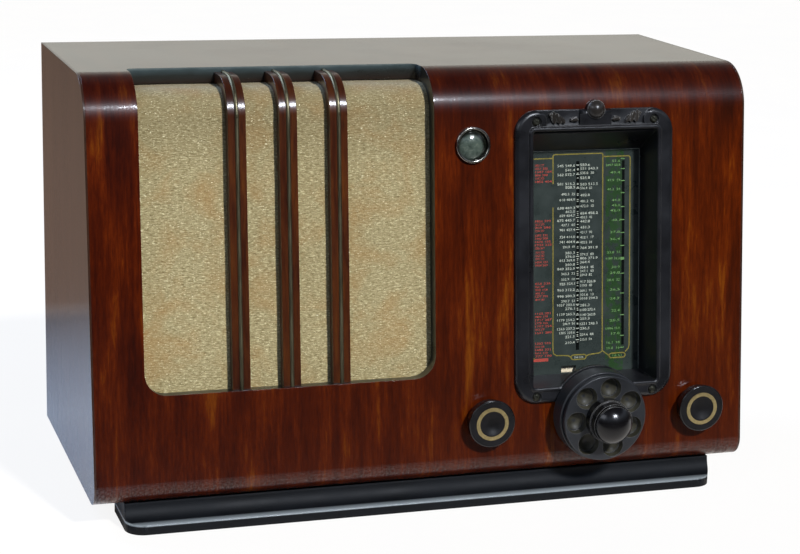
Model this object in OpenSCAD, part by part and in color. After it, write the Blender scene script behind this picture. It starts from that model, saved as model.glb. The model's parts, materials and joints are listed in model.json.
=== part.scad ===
// Radio receiver in a wooden table cabinet with a leaning front, about 1937.
// X runs along the front, Y to the back, Z up; the origin is on the table under the middle of the set.

/* [Cabinet] */
// cabinet width
cab_w = 540; // [480:1:620]
// cabinet depth at its bottom edge
cab_d = 246.5; // [200:0.5:320]
// cabinet height without the plinth
cab_h = 323.5; // [260:0.5:400]
// how far the front leans back, degrees
rake = 6.5; // [0:0.5:10]
// outside radius where the front rolls into the roof
roll_top = 36; // [28:1:50]
// outside radius along the bottom of the front
roll_low = 16; // [14:1:24]
// thickness of the front, roof, bottom and sides
board = 12; // [9:0.5:14]
// skin of a side panel that covers the board ends
skin = 1.5; // [1:0.5:3]

/* [Plinth] */
// plinth height
plinth_h = 21.5; // [15:0.5:35]
// how far each end of the plinth lies inside the cabinet's side
plinth_in = 24.5; // [10:0.5:60]
// how far the plinth stands proud of the front's bottom edge
plinth_out = 3; // [0:0.5:12]
// plinth depth from front to back
plinth_d = 58; // [45:1:90]
// plan radius of its front corners
plinth_r = 15; // [10:1:30]
// height of its square lip
lip_h = 7.5; // [4:0.5:12]
// width of the lip's top ledge
lip_ledge = 1; // [0.5:0.5:4]
// radius of the cove above the lip
cove_r = 13.5; // [8:0.5:13.5]
// how far each end of the batten under the back lies inside the cabinet's side
batten_in = 70; // [20:5:120]
// depth of the batten
batten_d = 24; // [15:1:35]
// distance from the batten's front to the cabinet's back
batten_y = 50; // [35:1:70]

/* [Loudspeaker opening] */
// left edge of the opening from the cabinet's left side
grille_in = 40.4; // [30:0.2:70]
// width of the wood between the opening and the dial frame
post_w = 66.1; // [50:0.1:90]
// bottom edge, measured up the front
grille_low = 85; // [70:1:140]
// how far back the opening cuts into the roof
grille_back = 84; // [72:1:110]
// corner radius at the bottom of the opening
grille_r = 17.5; // [6:0.5:30]
// corner radius where the opening ends in the roof
roof_r = 6; // [2:0.5:15]
// width of a grille bar
bar_w = 14; // [8:0.5:24]
// spacing of the grille bars
bar_pitch = 40.1; // [28:0.1:60]
// how far the bars lie below the cabinet's surface
bar_sunk = 4; // [0:0.5:8]
// middle bar from the middle of the opening
bar_shift = 0; // [-20:0.5:20]
// radius of the half-round bead on a bar
bead_r = 1.6; // [1:0.1:3]
// thickness of the grille cloth
cloth_t = 1; // [0.6:0.1:2]
// thickness of the baffle board
baffle_t = 9; // [6:0.5:15]
// how far the baffle board laps past the opening at each side
baffle_lap = 14; // [10:0.5:25]

/* [Loudspeaker] */
// radius of the loudspeaker's rim
speaker_r = 100; // [70:1:104]
// height of its axis, measured up the front
speaker_up = 171; // [150:1:190]
// depth of the basket
basket_d = 50; // [35:1:70]
// radius of the magnet pot
magnet_r = 42; // [30:1:55]
// length of the magnet pot
magnet_l = 37; // [20:1:50]
// width of the basket's flat rim
rim_w = 11; // [8:0.5:14]
// thickness of the rim
rim_t = 3; // [2:0.5:4]
// radius of a window in the basket
basket_hole_r = 13; // [8:0.5:15]

/* [Dial] */
// middle of the dial from the cabinet's right side
dial_in = 133; // [120:1:160]
// outside width of the dial frame
frame_w = 136.6; // [120:0.2:150]
// outside height of the dial frame
frame_l = 235; // [200:1:250]
// height of the frame's bottom edge, up the front
frame_low = 59; // [58:0.5:80]
// corner radius of the frame
frame_r = 19; // [8:1:30]
// how far the frame stands in front of the cabinet
frame_t = 4.5; // [3:0.5:8]
// radius of the frame's outer edge
frame_round = 4; // [1:0.5:6]
// width of the frame's moulding
frame_bar = 16; // [14:0.5:18]
// radius of the half-round bead round the window
window_bead = 1.8; // [1:0.1:2.5]
// depth of the two ornament panels in the top rail
panel_deep = 2.5; // [1:0.1:3]
// half the width of the plain middle between the panels
panel_mid = 13.5; // [8:0.5:20]
// radius of the shell boss on the top rail
boss_r = 7.6; // [4:0.2:9]
// how far the boss domes out
boss_dome = 5; // [2:0.2:7]
// width of the window at the front
window_w = 107; // [104:1:116]
// height of the window at the front
window_l = 205; // [190:1:210]
// width of the scale that shows at the back of the window
scale_w = 103; // [90:1:106]
// height of the scale that shows
scale_l = 183; // [160:1:190]
// height of the scale's bottom edge, up the front
scale_low = 76.6; // [74:0.2:90]
// how deep the scale lies behind the front
scale_depth = 25; // [16:1:32]
// thickness of the scale glass
scale_t = 3; // [2:0.5:4]
// space between the screws, across
screw_x = 101.2; // [90:0.2:110]
// space between the screws, up
screw_up = 220.4; // [200:0.2:226]
// radius of a screw head
screw_r = 3.2; // [2.5:0.1:4]
// radius of the sunk seat round a screw
screw_seat_r = 4.2; // [3.5:0.1:5]
// depth of that seat
screw_seat = 1.2; // [0.5:0.1:2]
// width of the band window in the scale
band_w = 13; // [8:0.5:20]
// middle of the band window from the middle of the dial
band_x = -11; // [-30:1:30]
// radius of the band drum
band_r = 10; // [7:0.5:11]

/* [Tuning eye] */
// middle of the eye from the right edge of the loudspeaker opening
eye_in = 31.6; // [20:0.2:45]
// eye height, up the front
eye_up = 267.9; // [240:0.2:270]
// outside radius of the eye's ring
eye_r = 14.3; // [11:0.1:18]
// radius of the glass that shows
eye_glass_r = 12; // [9:0.1:14]
// how far the glass domes out
eye_dome = 4; // [2:0.5:6]
// length of the eye's tube
eye_tube_l = 72; // [60:1:84]
// length of the base on the end of that tube
eye_base_l = 18; // [12:1:24]

/* [Knobs] */
// left and right knob from the middle of the dial
knob_span = 91.4; // [80:0.2:110]
// height of the small knobs above the cabinet's bottom
knob_up = 48; // [40:0.5:54]
// radius of a small knob at its face
knob_r = 19.4; // [15:0.2:24]
// radius of a small knob at its back
knob_back_r = 18; // [14:0.2:24]
// height of a small knob
knob_h = 9.6; // [8:0.2:16]
// number of flutes on a small knob
knob_flutes = 30; // [12:2:40]
// radius of a flute
flute_r = 1.35; // [0.8:0.05:2]
// middle radius of the ring let into a knob's face
knob_ring_r = 12; // [9:0.2:14]
// width of that ring
knob_ring_w = 3.2; // [2:0.1:5]
// radius of the ball that dishes the middle of a knob's face
knob_dish_r = 15.6; // [13:0.1:20]
// height of the tuning axis above the cabinet's bottom
tune_up = 50.2; // [44:0.2:56]
// radius of the tuning drum behind the disc
tune_drum_r = 36.5; // [28:0.5:42]
// how far the frame's low arch stands past that drum
arch_lap = 0.4; // [0:0.1:3]
// thickness of the arch behind the frame's face
arch_t = 2.5; // [1.5:0.5:6]
// radius of the tuning disc
tune_disc_r = 35.2; // [26:0.2:41]
// number of finger holes
finger_holes = 7; // [5:1:10]
// radius of a finger hole
finger_r = 7.6; // [5:0.2:9]
// radius of the circle of finger holes
finger_ring = 24.6; // [18:0.2:26]
// angle of the first finger hole
finger_turn = 82; // [0:1:90]
// radius of the fine-tuning knob's knurled band
fine_r = 16.4; // [12:0.2:20]
// radius of the fine-tuning knob's dome
dome_r = 15.2; // [10:0.2:18]
// teeth round the knurled band
knurl = 48; // [24:4:72]
// shaft radius
shaft_r = 3; // [2:0.5:4]

/* [Chassis] */
// left end of the chassis from the right edge of the loudspeaker opening
chassis_in = 5.4; // [0:0.2:20]
// space between the chassis and the cabinet's side
chassis_gap = 6; // [3:0.5:12]
// front of the chassis behind the front's bottom edge
chassis_front = 74; // [72:1:84]
// chassis height
chassis_h = 50; // [44:1:52]
// sheet thickness
sheet = 1.5; // [1:0.1:2]
// radius of a valve's bulb
bulb_r = 18; // [14:0.5:19]
// height of a valve above its socket
valve_l = 96; // [70:1:120]
// radius of a valve's base
base_r = 15.5; // [12:0.5:18]
// height of a valve's base
base_l = 22; // [15:1:30]
// radius of a valve's top cap
cap_r = 4.5; // [3:0.5:6]
// radius of a valve socket
valve_socket_r = 19; // [17:0.5:20]
// height of a valve socket above the deck
valve_socket_h = 6; // [4:0.5:8]
// radius of the hole in the valve socket's middle
valve_hole_r = 9; // [6:0.5:12]
// radius of a filter can
can_r = 18; // [14:0.5:19]
// height of a filter can
can_l = 84; // [60:1:110]
// radius of a smoothing capacitor's can
smooth_r = 12.5; // [9:0.5:13]
// height of that can
smooth_l = 72; // [50:1:100]
// width of the mains transformer's core
mains_w = 64; // [50:1:66]
// thickness of the mains transformer's core
mains_d = 36; // [24:1:38]
// height of the mains transformer's core
mains_h = 62; // [45:1:80]
// width of the output transformer's core
output_w = 46; // [36:1:56]
// thickness of the output transformer's core
output_d = 24; // [16:1:30]
// height of the output transformer's core
output_h = 42; // [30:1:50]
// how far a winding stands out of its core
coil_out = 9; // [5:0.5:10]
// radius of the volume control and the band switch
control_r = 12.5; // [9:0.5:14]
// length of the volume control
volume_l = 18; // [12:1:24]
// length of the band switch
switch_l = 30; // [20:1:45]
// plates on the tuning capacitor's rotor
gang_plates = 8; // [4:1:8]
// radius of the rotor plates
gang_r = 24; // [18:0.5:26]
// thickness of a plate
plate_t = 0.8; // [0.5:0.1:1]
// width of the tuning capacitor's frame
gang_w = 56; // [54:1:60]
// height of its end plates
gang_h = 62; // [60:1:70]

/* [Back] */
// thickness of the rear cover
cover_t = 3; // [2:0.5:4]
// how far the rear cover lies inside the back edge
cover_sunk = 5; // [3:0.5:10]
// vent slots in one row
vents = 14; // [6:1:18]
// rows of vent slots
vent_rows = 4; // [1:1:5]
// width of a vent slot
vent_w = 20; // [10:1:24]
// height of a vent slot
vent_h = 5; // [3:0.5:8]
// spacing of the rows
vent_step = 34; // [15:1:36]
// height of the lowest row above the cabinet's bottom
vent_low = 150; // [110:1:160]
// width and depth of the cleats that hold the cover
cleat = 12; // [8:0.5:16]
// spacing of the plug sockets
socket_step = 19; // [14:0.5:22]
// height of the socket strip
strip_h = 20; // [14:0.5:24]
// thickness of the socket strip
strip_t = 4; // [2:0.5:4]
// plug socket bore radius
socket_r = 2.05; // [2:0.05:2.2]
// mains grommet bore radius
grommet_r = 4; // [3:0.5:6]

/* [Hidden] */
$fn = 64;
eps = 0.01;
running_fit = 0.05;
slip = 0.1;
gap = 0.5;
// the rolls are this much fuller than their nominal radius
swell = 0.02;
// what lies against a roll keeps this far off
seat = 0.03;
// a soft sheet keeps this far off
soft = 0.3;
// unit vectors of the leaning front, in the side view
cr = cos(rake);
sr = sin(rake);
roll_z = cab_h - roll_top;
roll_y = (roll_z + roll_top * sr) / cr * sr + roll_top * cr;
low_y = (roll_low + roll_low * sr) / cr * sr + roll_low * cr;
dial_x = cab_w / 2 - dial_in;
grille_left = grille_in - cab_w / 2;
grille_right = dial_x - frame_w / 2 - post_w;
eye_x = grille_right + eye_in;
plinth_w = cab_w - 2 * plinth_in;
batten_w = cab_w - 2 * batten_in;
inner_w = cab_w - 2 * board;
bare_w = cab_w - 2 * skin;
// small knob faces and the tuning stack, measured back from the front's bottom edge
knob_back = 2.6;
tune_back = 0.8;
tune_ring = -14;
tune_face = -20;
fine_back = -20.6;
fine_flange = -28.5;
fine_knurl = -37;
fine_top = -46.5;
front_y = -(cab_d + fine_top) / 2;
grille_x = (grille_left + grille_right) / 2;
grille_w = grille_right - grille_left;
frame_mid = frame_low + frame_l / 2;
window_mid = frame_mid - 2;
frame_top = frame_low + frame_l;
screw_mid = frame_mid - 2;
panel_h = frame_top - window_mid - window_l / 2 - 2 * window_bead - 1;
boss_up = frame_top - 0.5;
leaf_h = 2.2;
scale_back = scale_depth + scale_t;
rail_gap = 6;
deck = board + chassis_h;
volume_x = dial_x - knob_span;
wave_x = dial_x + knob_span;
cover_y = cab_d - cover_sunk - cover_t;
speaker_depth = board + baffle_t;
cloth_in = board + soft + 0.1;
chassis_left = grille_right + chassis_in;
// the chassis wall stays clear of the cabinet's side and of the wave switch
chassis_right = max(cab_w / 2 - board - chassis_gap, wave_x + control_r + soft + sheet);
chassis_w = chassis_right - chassis_left;
chassis_back = cover_y - cleat - gap;
chassis_d = chassis_back - chassis_front;
gang_y = chassis_front + 24;
gang_l = 54;
gang_up = 34;
plate_pitch = (gang_l - 16) / gang_plates;
plate_y = (gang_l - (gang_plates - 1) * plate_pitch) / 2;
// cord drum of the capacitor, and the turns of the tuning disc for one turn of it
drum_r = 27;
drum_w = 7;
drum_y = gang_y - 13;
drive = 3;
band_up = scale_low + 3.4;
band_depth = scale_back + 1.5 + band_r;
// the scale glass reaches this far past what shows of it, across and up
scale_rim = 3;
scale_rim_up = 3.6;
glass_w = scale_w + 2 * scale_rim;
plate_x = glass_w / 2 - 1.5;
band_axle_l = 2 * plate_x + 10;
pointer_reach = scale_w / 2 - 3.5;
// a place on the deck: across from the middle of the dial, and a share of the chassis depth
function spot(x, share) = [dial_x + x, chassis_front + share * chassis_d];
valve_spots = [spot(55, 0.368), spot(-103, 0.25), spot(-55, 0.829), spot(-103, 0.855), spot(0, 0.803)];
can_spots = [spot(-103, 0.553), spot(-55, 0.5)];
smooth_x = chassis_right - 16;
smooth_shares = [0.184, 0.408];
mains_x = chassis_right - 37;
mains_share = 0.737;
strip_x = dial_x - 41;
strip_up = 36;
grommet_x = dial_x + 53;
cleat_low = board + 28;
cleat_l = cab_h - 2 * board - 49.5;
screw_heights = [cleat_low + 20, cleat_low + cleat_l - 20];
knob_ring_sunk = 1.2;
ring_inner = knob_ring_r - knob_ring_w / 2;
// side view (Y, Z) of the point at a depth behind the front and a distance up it
function side_of(depth, up) = [depth * cr + up * sr, up * cr - depth * sr];

walnut = [0.36, 0.13, 0.06];
walnut_side = [0.36, 0.22, 0.16];
lacquer = [0.06, 0.06, 0.07];
bakelite = [0.07, 0.07, 0.08];
cloth_gold = [0.72, 0.64, 0.44];
brass = [0.72, 0.6, 0.34];
nickel = [0.7, 0.7, 0.68];
steel = [0.62, 0.63, 0.64];
alloy = [0.75, 0.76, 0.77];
paper = [0.2, 0.18, 0.16];
card = [0.33, 0.22, 0.13];
plywood = [0.62, 0.48, 0.3];

// places children whose Y is counted from the front's bottom edge and Z from the cabinet's bottom
module in_cabinet() translate([0, front_y, plinth_h]) children();

// places children on the leaning front: X along it, Y into it, Z up it
module on_front() in_cabinet() rotate([-rake, 0, 0]) children();

// a flat shape (X, up the front) from depth d0 to d1
module front_plate(d0, d1) translate([0, d1, 0]) rotate([90, 0, 0]) linear_extrude(d1 - d0) children();

// a side view (Y, Z) run along X
module along_x(w) rotate([90, 0, 90]) linear_extrude(w, center = true) children();

module rounded(w, l, r) {
  square([w - 2 * r, l], center = true);
  square([w, l - 2 * r], center = true);
  for (i = [-1, 1], j = [-1, 1]) translate([i * (w / 2 - r), j * (l / 2 - r)]) circle(r);
}

// a turned piece whose axis points forward, given as (radius, distance in front of y)
module turned(x, y, up) translate([x, y, up]) rotate([90, 0, 0]) rotate_extrude() children();

// a round bar or hole along Y from y0 to y1
module rod_y(x, y0, y1, up, r) translate([x, y1, up]) rotate([90, 0, 0]) cylinder(h = y1 - y0, r = r);

// the cabinet's form over a width w, taken in by d from the front, roof and bottom
module form(w, d) {
  rt = roll_top - d;
  rl = roll_low - d;
  along_x(w) polygon([[cab_d, d], [low_y, d], [low_y - rl * cr, roll_low + rl * sr],
    [roll_y - rt * cr, roll_z + rt * sr], [roll_y, cab_h - d], [cab_d, cab_h - d]]);
  translate([0, roll_y, roll_z]) rotate([0, 90, 0]) cylinder(h = w, r = rt + swell, center = true);
  translate([0, low_y, roll_low]) rotate([0, 90, 0]) cylinder(h = w, r = rl + swell, center = true);
}

// a strip of width w along the front and roll, from depth d0 to d1, from s0 up the front to y1 in the roof
module strip(w, d0, d1, s0, y1) difference() {
  form(w, d0);
  form(w + 2, d1);
  along_x(w + 2) rotate(-rake) translate([-cab_d, -cab_h]) square([3 * cab_d, cab_h + s0]);
  along_x(w + 2) translate([y1, -1]) square([cab_d, cab_h + 2]);
}

// the cutter of the loudspeaker opening, g mm larger all round
module grille_cut(g = 0) {
  on_front() front_plate(-board, 3 * board) translate([grille_x, grille_low + cab_h / 4])
    rounded(grille_w + 2 * g, cab_h / 2 + 2 * g, grille_r);
  in_cabinet() translate([grille_x, grille_back / 2 - board, grille_low + grille_r + board])
    linear_extrude(cab_h)
    rounded(grille_w + 2 * g, grille_back + 2 * board + 2 * g, roof_r);
}

module cabinet_front() color(walnut) difference() {
  in_cabinet() difference() {
    form(bare_w, 0);
    form(cab_w, board);
    along_x(cab_w) translate([roll_y, -1]) square([cab_d, cab_h + 2]);
    along_x(cab_w) translate([low_y, -1]) square([cab_d, board + 2]);
  }
  grille_cut();
  on_front() front_plate(-board, 2 * board) translate([dial_x, window_mid]) rounded(window_w + 7,
    window_l + 7, 6);
  on_front() rod_y(eye_x, -board, 2 * board, eye_up, eye_glass_r + 1.6);
  in_cabinet() for (x = [volume_x, wave_x]) rod_y(x, -board, 3 * board, knob_up, 2 * shaft_r);
  in_cabinet() rod_y(dial_x, -board, 3 * board, tune_up, 3 * shaft_r);
}

module cabinet_roof() color(walnut) difference() {
  in_cabinet() translate([-bare_w / 2, roll_y, cab_h - board]) cube([bare_w, cab_d - roll_y, board]);
  grille_cut();
}

module cabinet_bottom() color(walnut_side)
  in_cabinet() translate([-bare_w / 2, low_y, 0]) cube([bare_w, cab_d - low_y, board]);

module side_panel() in_cabinet() {
  translate([(skin - cab_w) / 2, 0, 0]) form(skin, 0);
  translate([skin - cab_w / 2 + (board - skin) / 2, 0, 0]) form(board - skin, board + slip);
}
module side_left() color(walnut_side) side_panel();
module side_right() color(walnut_side) mirror([1, 0, 0]) side_panel();

// rounded at its front corners in plan; the cove runs straight through above the lip
module plinth() color(lacquer) translate([0, front_y - plinth_out, 0]) difference() {
  half = plinth_w / 2 - plinth_r;
  top = plinth_h - seat;
  union() {
    translate([-half, 0, 0]) cube([2 * half, plinth_d, top]);
    for (m = [0, 1]) mirror([m, 0, 0]) {
      translate([half, plinth_r, 0]) rotate(-90) rotate_extrude(angle = 90) square([plinth_r, top]);
      translate([half, plinth_r, 0]) cube([plinth_r, plinth_d - plinth_r, top]);
    }
  }
  translate([-plinth_w, -plinth_r, lip_h]) cube([2 * plinth_w, plinth_r + lip_ledge, plinth_h]);
  translate([0, lip_ledge, plinth_h]) rotate([0, 90, 0])
    cylinder(h = 2 * plinth_w, r = cove_r, center = true);
}

module rear_batten() color(lacquer)
  translate([-batten_w / 2, front_y + cab_d - batten_y, 0]) cube([batten_w, batten_d, plinth_h]);

// baffle board with a pocket for the cloth
module baffle() color(plywood) on_front() difference() {
  top = roll_z - 9.5;
  low = grille_low - 24;
  front_plate(board, board + baffle_t) translate([grille_left - baffle_lap, low])
    square([grille_w + 2 * baffle_lap, top - low]);
  front_plate(board - 1, cloth_in + cloth_t + soft) translate([grille_left - 6, grille_low - 8])
    square([grille_w + 12, cab_h]);
  rod_y(grille_x, 0, 3 * board, speaker_up, speaker_r - 12);
}

module grille_cloth() color(cloth_gold) in_cabinet() translate([grille_x, 0, 0])
  strip(grille_w + 10, cloth_in, cloth_in + cloth_t, grille_low - 6, grille_back + 8);

module grille_bar(n) color(walnut) in_cabinet() translate([grille_x + bar_shift + n * bar_pitch, 0, 0])
  strip(bar_w, bar_sunk, board, grille_low, grille_back);
module grille_bar_left() grille_bar(-1);
module grille_bar_middle() grille_bar(0);
module grille_bar_right() grille_bar(1);

module bead_section() intersection() {
  circle(bead_r, $fn = 24);
  translate([0, -bead_r]) square(2 * bead_r);
}

// half-round beads: straight up the front, round the roll, straight into the roof
module bar_beads() color(brass) in_cabinet() for (n = [-1:1])
  translate([grille_x + bar_shift + n * bar_pitch, 0, 0]) {
  lie = roll_top - bar_sunk;
  straight = (roll_z + roll_top * sr) / cr;
  rotate([-rake, 0, 0]) translate([0, bar_sunk, grille_low]) rotate(-90)
    linear_extrude(straight - grille_low - slip)
    bead_section();
  translate([0, roll_y, roll_z]) rotate([0, 90, 0]) rotate(180) rotate_extrude(angle = 90 - rake)
    translate([lie + running_fit, 0]) bead_section();
  translate([0, roll_y + slip, roll_z + lie]) rotate([-90, 0, 0]) rotate(-90)
    linear_extrude(grille_back - roll_y - slip)
    bead_section();
}

module eye_ring() color(nickel) on_front() turned(eye_x, 0, eye_up) {
  wide = eye_r - eye_glass_r;
  translate([eye_glass_r, 0]) square([wide, 2]);
  translate([eye_glass_r + wide / 2, 2]) circle(wide / 2);
}

module eye_glass() color([0.4, 0.45, 0.42, 0.6]) on_front() intersection() {
  rod_y(eye_x, -eye_dome, 0, eye_up, eye_glass_r - slip);
  ball = (pow(eye_glass_r, 2) + pow(eye_dome, 2)) / (2 * eye_dome);
  translate([eye_x, ball - eye_dome, eye_up]) sphere(ball, $fn = 192);
}

module eye_tube() color([0.2, 0.22, 0.22]) on_front() turned(eye_x, 0, eye_up) mirror([0, 1]) {
  square([eye_glass_r + 1.5, eye_tube_l]);
  translate([0, eye_tube_l]) square([eye_glass_r + 3.5, eye_base_l]);
}

// the window's cutter: its walls close in towards the scale
module window_cut() intersection() {
  far = frame_t + 4;
  translate([dial_x, 0, 0]) linear_extrude(2 * cab_h, center = true) polygon([[-window_w / 2, -far],
    [window_w / 2, -far], [window_w / 2, -frame_t], [scale_w / 2, scale_depth + eps], [-scale_w / 2,
      scale_depth + eps],
    [-window_w / 2, -frame_t]]);
  w0 = window_mid - window_l / 2;
  w1 = window_mid + window_l / 2;
  translate([dial_x, 0, 0]) along_x(2 * window_w) polygon([[-far, w0], [-frame_t, w0],
    [scale_depth + eps, scale_low],
    [scale_depth + eps, scale_low + scale_l], [-frame_t, w1], [-far, w1]]);
}

// runs a section, drawn inward from the edge, round a rectangle w by l with corner radius r
module ring_of(w, l, r) for (a = [0:3]) rotate(90 * a) {
  half = (a % 2 == 0 ? w : l) / 2;
  run = (a % 2 == 0 ? l : w) - 2 * r;
  translate([half, run / 2, 0]) mirror([1, 0, 0]) rotate([90, 0, 0]) linear_extrude(run) children();
  translate([half - r, run / 2, 0]) rotate_extrude(angle = 90) translate([r, 0]) mirror([1, 0]) children();
}

// the frame's moulding: rounded outer edge, then a flat
module frame_section() {
  translate([0, seat]) square([frame_bar, frame_t - frame_round - seat]);
  translate([frame_round, seat]) square([frame_bar - frame_round, frame_t - seat]);
  intersection() {
    translate([frame_round, frame_t - frame_round]) circle(frame_round);
    translate([0, frame_t - frame_round]) square([2 * frame_round, frame_round]);
  }
}

// panel recesses in the top rail: open at the top, their outer ends curved round the screws
module panel_cut() for (i = [-1, 1]) difference() {
  translate([dial_x + i * (panel_mid + screw_x / 2) / 2, -frame_t - 1, frame_top - panel_h / 2 + 1])
    cube([screw_x / 2 - panel_mid, 2 * panel_deep + 2, panel_h + 2], center = true);
  rod_y(dial_x + i * screw_x / 2, -2 * board, board, screw_mid + screw_up / 2, 2 * screw_seat_r + 0.4);
}

module dial_frame() color(bakelite) on_front() {
  difference() {
    union() {
      translate([dial_x, 0, frame_mid]) rotate([90, 0, 0]) ring_of(frame_w, frame_l, frame_r)
        frame_section();
      front_plate(-1, scale_depth) translate([dial_x, window_mid]) rounded(window_w + 6, window_l + 6, 6);
      rod_y(dial_x, -frame_t, -seat, boss_up, boss_r);
    }
    window_cut();
    panel_cut();
    for (i = [-1, 1], j = [-1, 1]) {
      rod_y(dial_x + i * screw_x / 2, -2 * frame_t, 2, screw_mid + j * screw_up / 2, 1.7);
      rod_y(dial_x + i * screw_x / 2, -2 * frame_t, screw_seat - frame_t, screw_mid + j * screw_up / 2,
        screw_seat_r);
    }
  }
  // half-round bead round the window
  translate([dial_x, slip - frame_t, window_mid]) rotate([90, 0, 0])
    ring_of(window_w + 4 * window_bead, window_l + 4 * window_bead, 3 * window_bead) intersection() {
      translate([window_bead, 0]) circle(window_bead, $fn = 32);
      square([2 * window_bead, window_bead]);
    }
  // low arch over the tuning disc
  difference() {
    intersection() {
      rod_y(dial_x, -frame_t - 1.5, arch_t - frame_t, tune_up / cr, tune_drum_r + arch_lap);
      translate([dial_x - window_w / 2, -board, window_mid - window_l / 2 - 1]) cube([window_w,
        3 * board, 60]);
    }
    rod_y(dial_x, -3 * board, 3 * board, tune_up / cr, tune_drum_r - 6);
  }
}

// a pointed leaf of length l turned by a, domed along its middle
module leaf(a, l) rotate(a) translate([0, l / 2]) rotate([90, 0, 0]) intersection() {
  rotate([-90, 0, 0]) linear_extrude(leaf_h) intersection() {
    translate([l * 0.42, 0]) circle(l * 0.68, $fn = 32);
    translate([-l * 0.42, 0]) circle(l * 0.68, $fn = 32);
  }
  translate([0, leaf_h - 0.45 * l, 0]) cylinder(h = 2 * l, r = 0.45 * l, center = true, $fn = 32);
}

// leaf relief in the two panels of the top rail, with a shell boss between them
module dial_ornament() color(bakelite) on_front() {
  floor_y = panel_deep - frame_t;
  for (m = [0, 1]) translate([dial_x, floor_y, frame_top - panel_h / 2 - 0.5]) mirror([m, 0, 0])
    rotate([90, 0, 0]) {
    // each leaf: place, turn, length
    for (p = [[35, -4.4, -8, 9.6], [30.2, -4.6, -22, 9.4], [26.4, -4.2, -40, 7.6], [21.4, -2.4, 64, 6],
      [14.8, -2.2, -78, 6.6]])
      translate([p[0], p[1], 0]) leaf(p[2], p[3]);
    translate([38.4, 2.4, 0]) cylinder(h = leaf_h, r1 = 1.9, r2 = 1.1, $fn = 24);
  }
  turned(dial_x, 0, boss_up) translate([0, frame_t]) {
    square([boss_r, 0.8]);
    intersection() {
      ball = (pow(boss_r - 0.3, 2) + pow(boss_dome, 2)) / (2 * boss_dome);
      translate([0, 0.8 + boss_dome - ball]) circle(ball, $fn = 64);
      square([boss_r - 0.3, boss_dome + 1]);
    }
  }
}

module dial_screws() color(nickel) on_front() for (i = [-1, 1], j = [-1, 1]) {
  x = dial_x + i * screw_x / 2;
  up = screw_mid + j * screw_up / 2;
  rod_y(x, screw_seat - frame_t, 0, up, screw_r / 2);
  difference() {
    intersection() {
      rod_y(x, screw_seat - frame_t - 2, screw_seat - frame_t, up, screw_r);
      translate([x, screw_seat + 1.2 - frame_t, up]) sphere(screw_r + 0.4, $fn = 48);
    }
    translate([x, screw_seat - frame_t - 2.5, up]) rotate([0, 35, 0]) cube([8, 2, 0.7], center = true);
  }
}

module dial_scale() color([0.1, 0.13, 0.12]) on_front() difference() {
  front_plate(scale_depth, scale_back) translate([dial_x - glass_w / 2, scale_low - scale_rim_up])
    square([glass_w, scale_l + 2 * scale_rim_up]);
  front_plate(scale_depth - 1, scale_back + 1) translate([dial_x + band_x, band_up]) square([band_w,
    5.6], center = true);
}

// tray behind the scale: side plates down to the deck, back, two lips for the rail
module dial_back() color(steel) {
  low = scale_low + 22;
  top = scale_low + scale_l + scale_rim_up;
  behind = scale_back + rail_gap + sheet;
  on_front() translate([dial_x, 0, 0]) {
    translate([-plate_x - eps, scale_back + rail_gap, low]) cube([2 * plate_x + 2 * eps, sheet, top - low]);
    for (z = [low, top - 2]) translate([-plate_x - eps, scale_back + gap, z])
      cube([2 * plate_x + 2 * eps, rail_gap, 2]);
  }
  in_cabinet() difference() {
    for (m = [-1, 1]) translate([dial_x + m * (plate_x + sheet / 2), 0, 0]) along_x(sheet)
      polygon([side_of(scale_back, top), side_of(scale_back, band_up + 8), side_of(band_depth - 9,
        band_up - 6),
        side_of(band_depth + 9, band_up - 8), [chassis_front + 4, deck], [chassis_front + 24, deck],
        side_of(behind + gap, low + 50), side_of(behind + gap, top)]);
    translate([dial_x, side_of(band_depth, band_up)[0], side_of(band_depth, band_up)[1]]) rotate([0, 90, 0])
      cylinder(h = 140, r = 2 + running_fit, center = true);
  }
}

rail_x = dial_x + 46;
rail_low = scale_low + 24;
rail_top = scale_low + scale_l + 1.6;
rail_depth = scale_back + rail_gap / 2;
module pointer_rail() color(steel) on_front() translate([rail_x, rail_depth, rail_low])
  cylinder(h = rail_top - rail_low, r = 1.5);

// slide on the rail with the pointer across the scale
module pointer() color([0.85, 0.2, 0.12]) on_front() {
  mid = (rail_low + rail_top) / 2;
  difference() {
    translate([rail_x, rail_depth, mid - 6]) cylinder(h = 12, r = 2.6);
    translate([rail_x, rail_depth, mid - 7]) cylinder(h = 14, r = 1.5 + running_fit);
  }
  translate([dial_x - pointer_reach, rail_depth - 0.6, mid - 0.6])
    cube([rail_x - dial_x + pointer_reach - 2, 1.2, 1.2]);
}

// drum that shows the band through the window in the scale
module band_drum() color([0.9, 0.88, 0.8]) in_cabinet() {
  axle = side_of(band_depth, band_up);
  translate([dial_x, axle[0], axle[1]]) rotate([0, 90, 0]) {
    cylinder(h = band_axle_l, r = 2, center = true);
    translate([0, 0, band_x]) cylinder(h = band_w + 6, r = band_r, center = true);
  }
}

// small knob: fluted skirt, groove for its ring, dished middle, blind bore for the shaft
module small_knob(x) color(bakelite) in_cabinet() difference() {
  turned(x, knob_back, knob_up) {
    polygon([[0, 0], [knob_back_r, 0], [knob_r, knob_h - 1.5], [knob_r, knob_h - 1], [0, knob_h - 1]]);
    translate([0, knob_h - 1.5]) square([knob_r - 1, 1.5]);
    translate([knob_r - 1, knob_h - 1]) circle(1);
  }
  turned(x, knob_back - knob_h, knob_up) translate([ring_inner, -knob_ring_sunk]) square([knob_ring_w, 2]);
  translate([x, knob_back - knob_h - 12, knob_up]) sphere(knob_dish_r);
  rod_y(x, -3.5, board, knob_up, shaft_r + slip);
  for (i = [0:knob_flutes - 1]) translate([x, knob_back, knob_up]) rotate([90, i * 360 / knob_flutes, 0])
    translate([knob_r + 0.5, 0, -1]) cylinder(h = knob_h - 1.6, r = flute_r, $fn = 16);
}
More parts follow.
